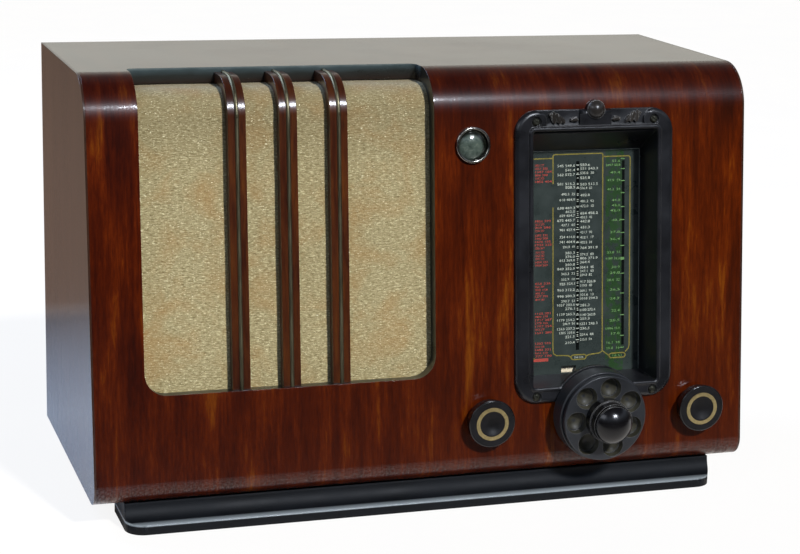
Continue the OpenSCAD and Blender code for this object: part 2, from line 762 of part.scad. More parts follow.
module ring_on(x) color(brass) in_cabinet() turned(x, knob_back - knob_h + knob_ring_sunk, knob_up)
  translate([ring_inner + slip, 0]) square([knob_ring_w - 2 * slip, 1.5]);
module control_shaft(x) color(steel) in_cabinet() rod_y(x, -3.5, chassis_front + 14, knob_up, shaft_r);

// a control on the chassis front: bushing, nut, body, blind bore for its shaft
module control_body(x, r, l) in_cabinet() difference() {
  union() {
    rod_y(x, chassis_front - 10, chassis_front + 2, knob_up, 4.8);
    rod_y(x, chassis_front - 3, chassis_front, knob_up, 8);
    rod_y(x, chassis_front + sheet, chassis_front + sheet + l, knob_up, r);
  }
  rod_y(x, chassis_front - 11, chassis_front + 14 + gap, knob_up, shaft_r + running_fit);
}
module volume_knob() small_knob(volume_x);
module volume_ring() ring_on(volume_x);
module volume_shaft() control_shaft(volume_x);
module volume_control() color(alloy) control_body(volume_x, control_r, volume_l);
module wave_knob() small_knob(wave_x);
module wave_ring() ring_on(wave_x);
module wave_shaft() control_shaft(wave_x);
module wave_switch() color(steel) control_body(wave_x, control_r, switch_l);

// tuning disc: drum, bright edge, neck, front disc with blind finger holes
module tuning_disc() color(bakelite) in_cabinet() difference() {
  turned(dial_x, 0, tune_up) {
    translate([0, -tune_back]) square([tune_drum_r, tune_back - tune_ring - 1]);
    translate([0, -tune_ring - 3]) square([tune_drum_r - 1, 3]);
    translate([tune_drum_r - 1, -tune_ring - 1]) circle(1);
    translate([0, -tune_ring]) square([tune_disc_r - 2.2, 2]);
    translate([0, -tune_ring + 1.4]) square([tune_disc_r - 1.2, -tune_face + tune_ring - 1.4]);
    translate([0, -tune_ring + 2.6]) square([tune_disc_r, -tune_face + tune_ring - 3.8]);
    translate([tune_disc_r - 1.2, -tune_face - 1.2]) circle(1.2);
    translate([tune_disc_r - 1.2, -tune_ring + 2.6]) circle(1.2);
  }
  for (i = [0:finger_holes - 1]) translate([dial_x, tune_face, tune_up]) rotate([0,
    -finger_turn - i * 360 / finger_holes, 0])
    translate([finger_ring, 0, 0]) {
      rotate([90, 0, 0]) cylinder(h = 9, r = finger_r, center = true, $fn = 48);
      translate([0, -1.4, 0]) sphere(finger_r + 1.4, $fn = 48);
    }
  rod_y(dial_x, -12, board, tune_up, 5 + slip);
  rod_y(dial_x, -3 * board, 0, tune_up, shaft_r + 0.4);
}
// tube of the tuning disc with the pulley that drives the capacitor's drum
module tuning_tube() color(steel) in_cabinet() difference() {
  union() {
    rod_y(dial_x, -12, drum_y + drum_w + 2, tune_up, 5);
    rod_y(dial_x, drum_y, drum_y + drum_w, tune_up, drum_r / drive);
  }
  turned(dial_x, drum_y + drum_w / 2 + 1.5, tune_up) translate([drum_r / drive - 1, 0]) square([3, 3]);
  rod_y(dial_x, -13, drum_y + drum_w + 3, tune_up, shaft_r + running_fit);
}
module tuning_bearing() color(brass) in_cabinet() difference() {
  union() {
    rod_y(dial_x, chassis_front - 6, chassis_front + 9, tune_up, 7.4);
    rod_y(dial_x, chassis_front - 3, chassis_front, tune_up, 9.6);
    rod_y(dial_x, chassis_front + sheet, chassis_front + sheet + 3, tune_up, 9.6);
  }
  rod_y(dial_x, chassis_front - 7, chassis_front + 11, tune_up, 5 + running_fit);
}

// fine-tuning knob: smooth foot, knurled band, dome
module fine_knob() color(bakelite) in_cabinet() difference() {
  union() {
    turned(dial_x, 0, tune_up) {
      translate([0, -fine_back]) square([fine_r + 1, fine_back - fine_flange]);
      translate([0, -fine_flange - 1]) square([fine_r, fine_flange - fine_knurl]);
      translate([0, -fine_knurl - 2]) square([dome_r - 0.8, 3.4]);
    }
    intersection() {
      rise = fine_knurl - 1.4 - fine_top;
      ball = (pow(dome_r, 2) + pow(rise, 2)) / (2 * rise);
      rod_y(dial_x, fine_top, fine_knurl - 1.4, tune_up, dome_r);
      translate([dial_x, fine_top + ball, tune_up]) sphere(ball);
    }
  }
  rod_y(dial_x, -34, 0, tune_up, shaft_r + slip);
  for (i = [0:knurl - 1]) translate([dial_x, fine_flange - 0.8, tune_up]) rotate([90, i * 360 / knurl, 0])
    translate([fine_r + 0.35, 0, 0]) rotate(45) cube([0.9, 0.9, 12]);
}
module fine_shaft() color(steel) in_cabinet() {
  rod_y(dial_x, -34, drum_y + drum_w + 14, tune_up, shaft_r);
  rod_y(dial_x, drum_y + drum_w + 4, drum_y + drum_w + 12, tune_up, 8);
}

// pan with holes for the controls, sockets and leads
module chassis() color(steel) in_cabinet() difference() {
  translate([chassis_left, chassis_front, board]) cube([chassis_w, chassis_d, chassis_h]);
  translate([chassis_left + sheet, chassis_front + sheet, board - 1])
    cube([chassis_w - 2 * sheet, chassis_d - 2 * sheet, chassis_h - sheet + 1]);
  for (x = [volume_x, wave_x]) rod_y(x, chassis_front - 1, chassis_front + 5, knob_up, 5);
  rod_y(dial_x, chassis_front - 1, chassis_front + 5, tune_up, 7.6);
  translate([dial_x - 16, drum_y, deck - 5]) cube([32, drum_w, 10]);
  for (p = valve_spots) translate([p[0], p[1], deck - 5]) cylinder(h = 10, r = 14);
  for (i = [0:3])
    rod_y(strip_x + (i - 1.5) * socket_step, chassis_back - 5, chassis_back + 1, strip_up, 3.6);
  rod_y(grommet_x, chassis_back - 5, chassis_back + 1, strip_up, grommet_r + 3);
}

module valve_sockets() color(bakelite) in_cabinet() for (p = valve_spots) translate([p[0], p[1], deck])
  difference() {
  cylinder(h = valve_socket_h, r = valve_socket_r);
  translate([0, 0, -1]) cylinder(h = valve_socket_h + 2, r = valve_hole_r);
}

// base, bulb and top cap
module valve(n) in_cabinet() translate([valve_spots[n][0], valve_spots[n][1], deck + valve_socket_h]) {
  shoulder = base_l + 4;
  cylinder(h = base_l, r = base_r);
  translate([0, 0, base_l]) cylinder(h = 4, r1 = base_r, r2 = bulb_r);
  translate([0, 0, shoulder]) cylinder(h = valve_l - shoulder - bulb_r, r = bulb_r);
  translate([0, 0, valve_l - bulb_r]) intersection() {
    sphere(bulb_r);
    cylinder(h = bulb_r, r = bulb_r);
  }
  translate([0, 0, valve_l - 1]) cylinder(h = 8, r = cap_r);
}
module mixer_valve() color([0.6, 0.12, 0.08]) valve(0);
module middle_valve() color([0.6, 0.12, 0.08]) valve(1);
module detector_valve() color([0.6, 0.12, 0.08]) valve(2);
module output_valve() color([0.6, 0.12, 0.08]) valve(3);
module rectifier_valve() color([0.75, 0.75, 0.72]) valve(4);

module filter_cans() color(alloy) in_cabinet() for (p = can_spots) translate([p[0], p[1], deck])
  difference() {
  cylinder(h = can_l, r = can_r);
  translate([0, 0, can_l - 4]) cylinder(h = 5, r = 3);
}
module smoothing_cans() color(alloy) in_cabinet() for (share = smooth_shares)
  translate([smooth_x, chassis_front + share * chassis_d, deck]) {
  cylinder(h = 3, r = smooth_r + 1.5);
  cylinder(h = smooth_l, r = smooth_r);
}

// tuning capacitor: base, end plates with bearings, fixed plates on an insulating bar
module gang_frame() color(alloy) in_cabinet() translate([dial_x, gang_y, deck]) {
  difference() {
    union() {
      translate([-gang_w / 2, 0, 0]) cube([gang_w, gang_l, 2]);
      for (y = [0, gang_l - 2]) translate([-gang_w / 2, y, 0]) cube([gang_w, 2, gang_h]);
    }
    translate([0, -1, gang_up]) rotate([-90, 0, 0]) cylinder(h = gang_l + 2, r = 3 + running_fit);
  }
  translate([-gang_w / 2, 2 - eps, 20]) cube([2, gang_l - 4 + 2 * eps, 28]);
  for (i = [0:gang_plates - 2])
    translate([2 - gang_w / 2 - eps, plate_y + (i + 0.5) * plate_pitch - plate_t / 2, gang_up])
    rotate([-90, 0, 0]) linear_extrude(plate_t) difference() {
      translate([0, -23]) square([22, 46]);
      translate([26, 0]) circle(6);
    }
}

// rotor: shaft, half-round plates standing up at mid travel, cord drum
module gang_rotor() color(alloy) in_cabinet() translate([dial_x, gang_y, deck + gang_up]) rotate([-90,
  0, 0]) {
  translate([0, 0, -15]) cylinder(h = gang_l + 19, r = 3);
  for (i = [0:gang_plates - 1]) translate([0, 0, plate_y + i * plate_pitch - plate_t / 2])
    linear_extrude(plate_t)
    intersection() {
    circle(gang_r);
    translate([-gang_r, -2 * gang_r]) square(2 * gang_r);
  }
  translate([0, 0, plate_y - 2]) cylinder(h = gang_l - 2 * plate_y + 4, r = 4.5);
  translate([0, 0, drum_y - gang_y]) difference() {
    cylinder(h = drum_w, r = drum_r);
    translate([0, 0, drum_w / 2 - 1.5]) rotate_extrude() translate([drum_r - 1.5, 0]) square([3, 3]);
    for (a = [0:60:300]) rotate(a) translate([15, 0, -1]) cylinder(h = 9, r = 5);
  }
}

// laminated core with its winding, four feet
module iron_core(w, d, h) {
  difference() {
    translate([-w / 2, -d / 2, 0]) cube([w, d, h]);
    for (i = [-1, 1]) translate([i * w / 4 - w / 12, -d, h / 5]) cube([w / 6, 2 * d, 3 * h / 5]);
  }
  translate([-w / 3 + gap, -d / 2 - coil_out, h / 5 + gap]) cube([2 * w / 3 - 2 * gap, d + 2 * coil_out,
    3 * h / 5 - 2 * gap]);
}
module mains_transformer() color([0.16, 0.16, 0.17]) in_cabinet()
  translate([mains_x, chassis_front + mains_share * chassis_d, deck]) iron_core(mains_w, mains_d, mains_h);
module output_transformer() color([0.16, 0.16, 0.17]) in_cabinet()
  translate([chassis_left - 68, chassis_back - 50, board]) iron_core(output_w, output_d, output_h);

// basket with six windows, turned about the loudspeaker's axis
module speaker_basket() color([0.22, 0.23, 0.22]) on_front() difference() {
  turned(grille_x, speaker_depth, speaker_up) mirror([0, 1]) {
    translate([speaker_r - rim_w, 0]) square([rim_w, rim_t]);
    polygon([[speaker_r - rim_w - 6, rim_t - 1], [speaker_r - rim_w + 1, rim_t - 1], [speaker_r - rim_w + 1,
      rim_t + 0.4], [magnet_r - 2, basket_d], [magnet_r - 5, basket_d],
      [speaker_r - rim_w - 6, rim_t + 0.6]]);
    translate([8, basket_d - 2]) square([magnet_r - 10, 3]);
  }
  for (a = [30:60:330]) translate([grille_x, speaker_depth, speaker_up]) rotate([-90, a, 0])
    translate([0.63 * speaker_r, 0, 12])
    cylinder(h = 40, r = basket_hole_r);
}

module speaker_cone() color(paper) on_front() turned(grille_x, speaker_depth, speaker_up) mirror([0, 1]) {
  polygon([[speaker_r - 12, 1], [speaker_r - 12, 1.99], [speaker_r - 17, 1.99], [16, basket_d - 12],
    [15, basket_d - 12.6], [speaker_r - 17.6, 1]]);
  translate([0, basket_d - 13]) square([16.2, 1]);
}

module speaker_magnet() color([0.14, 0.14, 0.15]) on_front() turned(grille_x,
  speaker_depth + basket_d + 1, speaker_up)
  mirror([0, 1]) {
    square([magnet_r, magnet_l - 4]);
    square([magnet_r - 4, magnet_l]);
    translate([magnet_r - 4, magnet_l - 4]) circle(4);
  }

module rear_cleats() color(plywood) in_cabinet() for (m = [0, 1]) mirror([m, 0, 0])
  translate([inner_w / 2 - cleat, cover_y - cleat, cleat_low]) cube([cleat, cleat, cleat_l]);

cover_w = inner_w - 2 * gap;
// pressed card with slotted vents and a cut-out for the sockets
module rear_cover() color(card) in_cabinet() difference() {
  translate([-cover_w / 2, cover_y, board + gap]) cube([cover_w, cover_t, cab_h - 2 * board - 2 * gap]);
  pitch = (cover_w - 60) / vents;
  for (i = [0:vents - 1], j = [0:vent_rows - 1])
    translate([(i - (vents - 1) / 2) * pitch - vent_w / 2, cover_y - 1, vent_low + j * vent_step])
    cube([vent_w, cover_t + 2, vent_h]);
  for (w = [[strip_x, 4 * socket_step + 8], [grommet_x, strip_h + 8]])
    translate([w[0] - w[1] / 2, cover_y - 1, strip_up - strip_h / 2 - 4])
      cube([w[1], cover_t + 2, strip_h + 8]);
  for (i = [-1, 1], z = screw_heights) rod_y(i * (inner_w - cleat) / 2, cover_y - 1, cover_y + 5, z, 2.2);
}
module rear_screws() color(nickel) in_cabinet() for (i = [-1, 1], z = screw_heights)
  turned(i * (inner_w - cleat) / 2, cover_y, z) mirror([0, 1])
    polygon([[0, 0], [2, 0], [2, cover_t], [4.2, cover_t], [4.2, cover_t + 0.8], [3, cover_t + 2.4],
      [0, cover_t + 2.4]]);

// aerial, earth and pick-up sockets on the back of the chassis
module socket_strip() color([0.42, 0.24, 0.12]) in_cabinet() difference() {
  union() {
    translate([strip_x - 2 * socket_step, chassis_back, strip_up - strip_h / 2])
      cube([4 * socket_step, strip_t, strip_h]);
    for (i = [0:3])
      rod_y(strip_x + (i - 1.5) * socket_step, chassis_back - 12, chassis_back + strip_t, strip_up, 3.4);
  }
  for (i = [0:3])
    rod_y(strip_x + (i - 1.5) * socket_step, chassis_back - 13, chassis_back + strip_t + 1, strip_up,
      socket_r);
}

module mains_grommet() color([0.08, 0.08, 0.08]) in_cabinet() turned(grommet_x, chassis_back, strip_up) {
  translate([grommet_r, -2.5]) square([5.5, 2.5]);
  translate([grommet_r, -0.5]) square([3 - running_fit, sheet + 1]);
  translate([grommet_r, sheet]) square([5.5, 2.5]);
}

cabinet_front();
cabinet_roof();
cabinet_bottom();
side_left();
side_right();
plinth();
rear_batten();
baffle();
grille_cloth();
grille_bar_left();
grille_bar_middle();
grille_bar_right();
bar_beads();
eye_ring();
eye_glass();
eye_tube();
dial_frame();
dial_ornament();
dial_screws();
dial_scale();
dial_back();
pointer_rail();
pointer();
band_drum();
volume_knob();
volume_ring();
volume_shaft();
volume_control();
wave_knob();
wave_ring();
wave_shaft();
wave_switch();
tuning_disc();
tuning_tube();
tuning_bearing();
fine_knob();
fine_shaft();
chassis();
gang_frame();
gang_rotor();
mains_transformer();
output_transformer();
valve_sockets();
mixer_valve();
middle_valve();
detector_valve();
output_valve();
rectifier_valve();
filter_cans();
smoothing_cans();
speaker_basket();
speaker_cone();
speaker_magnet();
rear_cleats();
rear_cover();
rear_screws();
socket_strip();
mains_grommet();
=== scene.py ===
import json
import math
import random
import bpy
import bmesh
from mathutils import Matrix, Vector

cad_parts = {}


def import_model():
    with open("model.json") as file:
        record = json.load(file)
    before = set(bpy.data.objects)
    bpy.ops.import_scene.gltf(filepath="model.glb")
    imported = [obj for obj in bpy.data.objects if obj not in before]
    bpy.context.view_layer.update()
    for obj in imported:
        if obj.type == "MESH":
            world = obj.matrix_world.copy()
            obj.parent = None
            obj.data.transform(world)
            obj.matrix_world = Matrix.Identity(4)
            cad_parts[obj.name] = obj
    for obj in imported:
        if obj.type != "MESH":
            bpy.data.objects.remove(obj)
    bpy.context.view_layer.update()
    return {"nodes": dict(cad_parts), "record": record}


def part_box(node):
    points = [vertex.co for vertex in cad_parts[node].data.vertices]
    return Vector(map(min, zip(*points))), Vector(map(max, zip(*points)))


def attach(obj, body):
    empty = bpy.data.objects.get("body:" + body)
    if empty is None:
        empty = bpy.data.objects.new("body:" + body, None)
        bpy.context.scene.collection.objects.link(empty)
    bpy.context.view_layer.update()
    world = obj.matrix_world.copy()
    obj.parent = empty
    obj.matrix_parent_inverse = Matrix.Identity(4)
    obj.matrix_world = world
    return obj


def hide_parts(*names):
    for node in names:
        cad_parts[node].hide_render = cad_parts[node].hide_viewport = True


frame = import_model()
nodes = frame["nodes"]
random.seed(37)
print("stage: frame loaded")

# sizes from the CAD frame in metres: the front leans back by the rake and rolls over into the roof
cab = dict(frontY=-0.100, bottomZ=0.0215, rake=math.radians(6.5), rollTop=0.036, height=0.3235, dialX=0.137)
cosR, sinR = math.cos(cab["rake"]), math.sin(cab["rake"])
rollZ = cab["height"] - cab["rollTop"]
straightEnd = (rollZ + cab["rollTop"] * sinR) / cosR  # where the roll begins, measured up the front
rollY = straightEnd * sinR + cab["rollTop"] * cosR


def onFront(x, up, depth=0.0):
    # a place on the leaning front: x, distance up it, depth behind it
    return Vector((x, cab["frontY"] + up * sinR + depth * cosR, cab["bottomZ"] + up * cosR - depth * sinR))


def upFront(p):
    return (p.y - cab["frontY"]) * sinR + (p.z - cab["bottomZ"]) * cosR


def behindFront(p):
    return (p.y - cab["frontY"]) * cosR - (p.z - cab["bottomZ"]) * sinR


def facingFront(n):
    # 1 for a face parallel to the front, 0 for one that stands square to it
    return abs(n.y * cosR - n.z * sinR)


def clearSelection():
    if bpy.context.object and bpy.context.object.mode != "OBJECT":
        bpy.ops.object.mode_set(mode="OBJECT")
    bpy.ops.object.select_all(action="DESELECT")


def linear(hexColour):
    # sRGB hex to the linear colour that shaders take
    out = []
    for i in (0, 2, 4):
        c = int(hexColour[i:i + 2], 16) / 255
        out.append(c / 12.92 if c <= 0.04045 else ((c + 0.055) / 1.055) ** 2.4)
    return (*out, 1.0)


def feed(tree, node, inputs):
    # inputs by name or in order: a socket to link, a hex colour, a plain value, or None to leave it alone
    for key, value in (inputs.items() if isinstance(inputs, dict) else enumerate(inputs)):
        if isinstance(value, bpy.types.NodeSocket):
            tree.links.new(value, node.inputs[key])
        elif value is not None:
            node.inputs[key].default_value = linear(value) if isinstance(value, str) else value


def addNode(tree, kind, inputs=(), stops=(), out=0, **settings):
    # adds one shader node and hands back its output; stops are the places and colours of a ramp
    n = tree.nodes.new("ShaderNode" + kind)
    for key, value in settings.items():
        setattr(n, key, value)
    if stops:
        while len(n.color_ramp.elements) < len(stops):
            n.color_ramp.elements.new(0.5)
        for e, (position, colour) in zip(n.color_ramp.elements, stops):
            e.position = position
            e.color = linear(colour)
    feed(tree, n, inputs)
    return n.outputs[out]


mixing = dict(out=2, data_type="RGBA")  # a Mix node for colours: its factor is input 0, its colours are 6 and 7


def newMaterial(name):
    m = bpy.data.materials.new(name)
    m.use_nodes = True
    t = m.node_tree
    t.nodes.clear()
    b = t.nodes.new("ShaderNodeBsdfPrincipled")
    feed(t, t.nodes.new("ShaderNodeOutputMaterial"), [b.outputs[0]])
    return m, t, b


def axis(tree, i):
    # x, y or z of the Object coordinates, in metres
    return addNode(tree, "SeparateXYZ", [addNode(tree, "TexCoord", out="Object")], out=i)


def pattern(tree, sizes, detail=3, rough=0.5, distort=0.0, unroll=False):
    # cloudy pattern, sizes in mm along x, y and z; unrolled, its height runs on over the roll into the roof
    place = addNode(tree, "TexCoord", out="Object")
    if unroll:
        up = addNode(tree, "Math", [axis(tree, 1), axis(tree, 2)], operation="ADD")
        place = addNode(tree, "CombineXYZ", [axis(tree, 0), None, up])
    place = addNode(tree, "Mapping", {"Vector": place, "Scale": [1000 / a if a else 0 for a in sizes]})
    return addNode(tree, "TexNoise", {"Vector": place, "Scale": 1.0, "Detail": detail, "Roughness": rough,
                                      "Distortion": distort})


# French-polished veneer on ply: figure, streaks, flecks and pores along the grain under a deep gloss that is
# rippled by hand polishing. Sizes in mm. Real pores are 0.2 wide, drawn 0.5 wide to show. bleach pales the wood
# to the right, shade paints shade on the roll, low paints shade low down, sparkle breaks the gloss into dots.
frontWood = dict(name="front_veneer", unroll=True, figure=19, streak=3.4, fleck=2.2, pore=0.5, long=8,
                 weights=(0.56, 0.30, 0.16, 0.05), bleach=0.05, shade=0.62, low=0.42, sheen=0.16,
                 stops=[(0.37, "1e0501"), (0.45, "2e0901"), (0.53, "3f1101"), (0.60, "511b02"), (0.70, "733c07")],
                 rough=0.30, coat=1.0, coatRough=0.07, ripple=0.07, sparkle=1.5)
roofWood = dict(frontWood, name="roof_veneer", shade=0.3, rough=0.32, coatRough=0.10, sheen=0.2, sparkle=0,
                stops=[(0.36, "1a0a07"), (0.45, "28110a"), (0.53, "35190f"), (0.61, "402213"), (0.74, "4c2c1a")])
barWood = dict(frontWood, name="bar_wood", figure=10, bleach=0.12, shade=0.45, coatRough=0.10,
               stops=[(0.36, "180a06"), (0.46, "2c120a"), (0.56, "40200f"), (0.76, "5a3413")])
sideWood = dict(name="side_veneer", unroll=False, figure=45, streak=6, fleck=5, pore=0.6, long=8,
                weights=(0.56, 0.26, 0.16, 0.06), bleach=0.0, shade=0.0, low=0.0, sheen=0.2,
                stops=[(0.34, "1c0e08"), (0.48, "2c1a11"), (0.60, "392417"), (0.78, "472e20")],
                rough=0.4, coat=0.8, coatRough=0.07, ripple=0.05, sparkle=0)


def veneer(s):
    m, t, b = newMaterial(s["name"])

    def grain(width, ratio, detail, rough, distort=0.0):
        return pattern(t, (width, width, width * ratio), detail, rough, distort, s["unroll"])

    pores = grain(s["pore"], 26, 2, 0.5)
    layers = (grain(s["figure"], s["long"], 4, 0.55, 0.35), grain(s["streak"], s["long"] * 2, 5, 0.62, 0.2),
              grain(s["fleck"], 6, 3, 0.6, 0.6), pores)
    mixed = 0.0
    for layer, weight in zip(layers, s["weights"]):
        mixed = addNode(t, "Math", [layer, weight, mixed], operation="MULTIPLY_ADD")
    colour = addNode(t, "ValToRGB", [mixed], s["stops"])
    sunned = addNode(t, "MapRange", [axis(t, 0), -0.25, 0.28, 0.0, s["bleach"]])
    colour = addNode(t, "Mix", {0: sunned, 6: colour, 7: "8a4406"}, blend_type="SCREEN", **mixing)
    # painted shade: the wood is darkened towards the top of the roll
    paintedRollShade = addNode(t, "MapRange", [axis(t, 2), 0.29, 0.34, 0.0, s["shade"]])
    colour = addNode(t, "Mix", {0: paintedRollShade, 6: colour, 7: "120608"}, **mixing)
    # painted shade: the wood is darkened towards the foot
    paintedFootShade = addNode(t, "MapRange", [axis(t, 2), 0.05, 0.2375, s["low"], 0.0])
    colour = addNode(t, "Mix", {0: paintedFootShade, 6: colour, 7: "1a0400"}, **mixing)
    deep = addNode(t, "MapRange", [pores, 0.30, 0.42, 0.55, 0.0])
    colour = addNode(t, "Mix", {0: deep, 6: colour, 7: s["stops"][0][1]}, **mixing)
    worn = pattern(t, (111, 111, 111), 3, 0.6)
    coat = s["coat"]
    if s["sparkle"]:
        dots = pattern(t, [s["sparkle"]] * 3, 2, 0.6, 0.0, s["unroll"])
        coat = addNode(t, "MapRange", [dots, 0.42, 0.60, 0.14, s["coat"]])
    ripple = pattern(t, (2.381, 2.381, 6.25), 2, 0.5, 0.0, s["unroll"])
    edge = addNode(t, "Bevel", {"Radius": 0.0008}, samples=4)  # edges softened by rubbing down
    feed(t, b, {
        "Base Color": colour, "Specular IOR Level": s["sheen"], "Coat Weight": coat, "Coat IOR": 1.5,
        "Roughness": addNode(t, "MapRange", [worn, 0.35, 0.7, s["rough"] * 0.97, s["rough"] * 1.03]),
        "Coat Roughness": addNode(t, "MapRange", [worn, 0.35, 0.7, s["coatRough"], s["coatRough"] * 1.8]),
        "Normal": addNode(t, "Bump", {"Strength": 0.06, "Distance": 0.0002, "Height": pores, "Normal": edge}),
        "Coat Normal": addNode(t, "Bump", {"Strength": s["ripple"], "Distance": 0.0006, "Height": ripple,
                                           "Normal": edge})})
    return m


# Moulded phenolic, stain and enamel: flat colour with a gloss that wear dulls in patches. patch and fine are
# sizes in mm, edge is the softened corner in metres; the last number sets how pale a painted highlight along the
# edges is.
lacquers = {
    "reveal": dict(name="stained_edge", patch=50, fine=4, dark="060706", light="10120f", rough=0.24, bump=0.08),
    "bakelite": dict(name="black_bakelite", patch=30, fine=1.5, dark="181b20", light="262a31", rough=0.30,
                     bump=0.05, edge=0.0006, rub=0.35),
    "frame": dict(name="frame_bakelite", patch=30, fine=1.5, dark="0e0f13", light="1a1c22", rough=0.25,
                  bump=0.04, edge=0.0013, rub=0.08),
    "carved": dict(name="carved_bakelite", patch=30, fine=1.5, dark="1d1c1c", light="2e2c2b", rough=0.22,
                   bump=0.04, edge=0.0006, rub=0.5),
    "knob": dict(name="turned_bakelite", patch=12, fine=1, dark="08080a", light="111114", rough=0.14,
                 bump=0.05, edge=0.0008, rub=0.45),
    "dish": dict(name="dished_bakelite", patch=12, fine=1, dark="0c0c0e", light="17171b", rough=0.42,
                 bump=0.03, specular=0.22),
    "dusty": dict(name="dusty_bakelite", patch=6, fine=1, dark="1c1c17", light="3a3a30", rough=0.42, bump=0.1),
    "sill": dict(name="dark_sill", patch=30, fine=2, dark="1a1f20", light="272d2e", rough=0.55, bump=0.05,
                 specular=0.03),
    "enamel": dict(name="white_enamel", patch=20, fine=2, dark="d8d2bd", light="efeada", rough=0.4, bump=0.02),
    "red": dict(name="red_enamel", patch=10, fine=2, dark="9a1d12", light="b5281a", rough=0.3, bump=0.02),
}


def lacquer(s):
    m, t, b = newMaterial(s["name"])
    wear = pattern(t, [s["patch"]] * 3, 5, 0.6)
    fine = pattern(t, [s["fine"]] * 3, 2, 0.5)
    colour = addNode(t, "ValToRGB", [wear], [(0.3, s["dark"]), (0.75, s["light"])])
    edge = None
    if "edge" in s:  # where the softened normal leaves the face's own, the colour is paled: a painted highlight along the edges
        edge = addNode(t, "Bevel", {"Radius": s["edge"]}, samples=4)
        plain = addNode(t, "NewGeometry", out="Normal")
        turn = addNode(t, "VectorMath", [edge, plain], out="Value", operation="DOT_PRODUCT")
        rubbed = addNode(t, "MapRange", [turn, 0.84, 0.985, s["rub"], 0.0])
        colour = addNode(t, "Mix", {0: rubbed, 6: colour, 7: "a3a8ae"}, **mixing)
    feed(t, b, {
        "Base Color": colour, "Specular IOR Level": s.get("specular", 0.5),
        "Roughness": addNode(t, "MapRange", [wear, 0.3, 0.8, s["rough"], s["rough"] * 1.8]),
        "Normal": addNode(t, "Bump", {"Strength": s["bump"], "Distance": 0.0004, "Height": fine, "Normal": edge})})
    return m


# Turned, drawn, plated or painted metal with fine scratches. scratch is their size in mm along x, y and z.
metals = {
    "ring": dict(name="brass_inlay", scratch=(2, 2, 2), dark="83754e", light="c9b888", rough=0.28, metallic=0.75),
    "brass": dict(name="brass", scratch=(2, 2, 2), dark="7a6a4a", light="cdbd94", rough=0.34),
    "bead": dict(name="brass_bead", scratch=(3, 3, 40), dark="5a5340", light="8f876a", rough=0.34),
    "aged": dict(name="aged_steel", scratch=(1.2, 1.2, 1.2), dark="24241f", light="5c5b50", rough=0.38),
    "nickel": dict(name="nickel", scratch=(2, 2, 2), dark="6f6b64", light="bbb6ac", rough=0.16),
    "steel": dict(name="zinc_plated_steel", scratch=(20, 1, 20), dark="80827f", light="b3b5b4", rough=0.36),
    "alloy": dict(name="aluminium", scratch=(1, 20, 20), dark="9a9c9d", light="c9cbcc", rough=0.32),
    "iron": dict(name="japanned_iron", scratch=(10, 10, 10), dark="0e0e10", light="1d1d20", rough=0.35,
                 metallic=0.1),
    "coated": dict(name="valve_coating", scratch=(2, 2, 2), dark="6a1d12", light="8c2d1b", rough=0.5,
                   metallic=0.3),
}


def metal(s):
    m, t, b = newMaterial(s["name"])
    scratch = pattern(t, s["scratch"], 4, 0.6)
    feed(t, b, {
        "Base Color": addNode(t, "Mix", {0: scratch, 6: s["dark"], 7: s["light"]}, **mixing),
        "Metallic": s.get("metallic", 1.0),
        "Roughness": addNode(t, "MapRange", [scratch, 0.3, 0.8, s["rough"], s["rough"] * 1.7]),
        "Normal": addNode(t, "Bump", {"Strength": 0.08, "Distance": 0.0002, "Height": scratch})})
    return m


# Unpolished ply, card, paper, rubber and printer's ink: dull, with fibres. fibre is their size in mm along
# x, y and z; paper's are far finer and are drawn 2 mm long to show.
inkPatch = dict(fibre=(4, 4, 4), specular=0.1, rough=0.6, bump=0.1)
mattes = {
    "ply": dict(name="bare_ply", fibre=(50, 4, 50), dark="7a5a38", light="a58459", rough=0.8),
    "board": dict(name="pressed_board", fibre=(2, 2, 2), dark="3d2818", light="5f4229", rough=0.85),
    "cone": dict(name="paper_cone", fibre=(2, 2, 2), dark="1d1a17", light="33302b", rough=0.85),
    "paxolin": dict(name="laminated_paper", fibre=(10, 10, 2), dark="4a2a14", light="6b3f20", rough=0.45),
    "rubber": dict(name="rubber", fibre=(2, 2, 2), dark="101010", light="1c1c1c", rough=0.7),
    "whitePrint": dict(inkPatch, name="white_print", dark="85928f", light="bcc9c6"),
    "greenPrint": dict(inkPatch, name="green_print", dark="44703f", light="739a6b"),
    "redPrint": dict(inkPatch, name="red_print", dark="8a3a36", light="b0524c"),
    "greyPrint": dict(inkPatch, name="grey_print", dark="4a4a48", light="6a6a66"),
    "darkPrint": dict(inkPatch, name="dark_print", dark="030605", light="080d0c", rough=0.5),
    "goldPrint": dict(inkPatch, name="gold_print", fibre=(4, 4, 12), dark="5c592c", light="857f45", rough=0.45),
    # painted highlight for the scale glass's polished edges
    "edgeLight": dict(name="glass_edge_highlight", fibre=(4, 4, 20), dark="6d7876", light="a4b0ad", rough=0.4, bump=0.1),
}


def matte(s):
    m, t, b = newMaterial(s["name"])
    fibre = pattern(t, s["fibre"], 6, 0.65)
    feed(t, b, {
        "Base Color": addNode(t, "ValToRGB", [fibre], [(0.25, s["dark"]), (0.75, s["light"])]),
        "Roughness": addNode(t, "MapRange", [fibre, 0.2, 0.8, s["rough"], min(1.0, s["rough"] * 1.15)]),
        "Specular IOR Level": s.get("specular", 0.4),
        "Normal": addNode(t, "Bump", {"Strength": s.get("bump", 0.25), "Distance": 0.0003, "Height": fibre})})
    return m


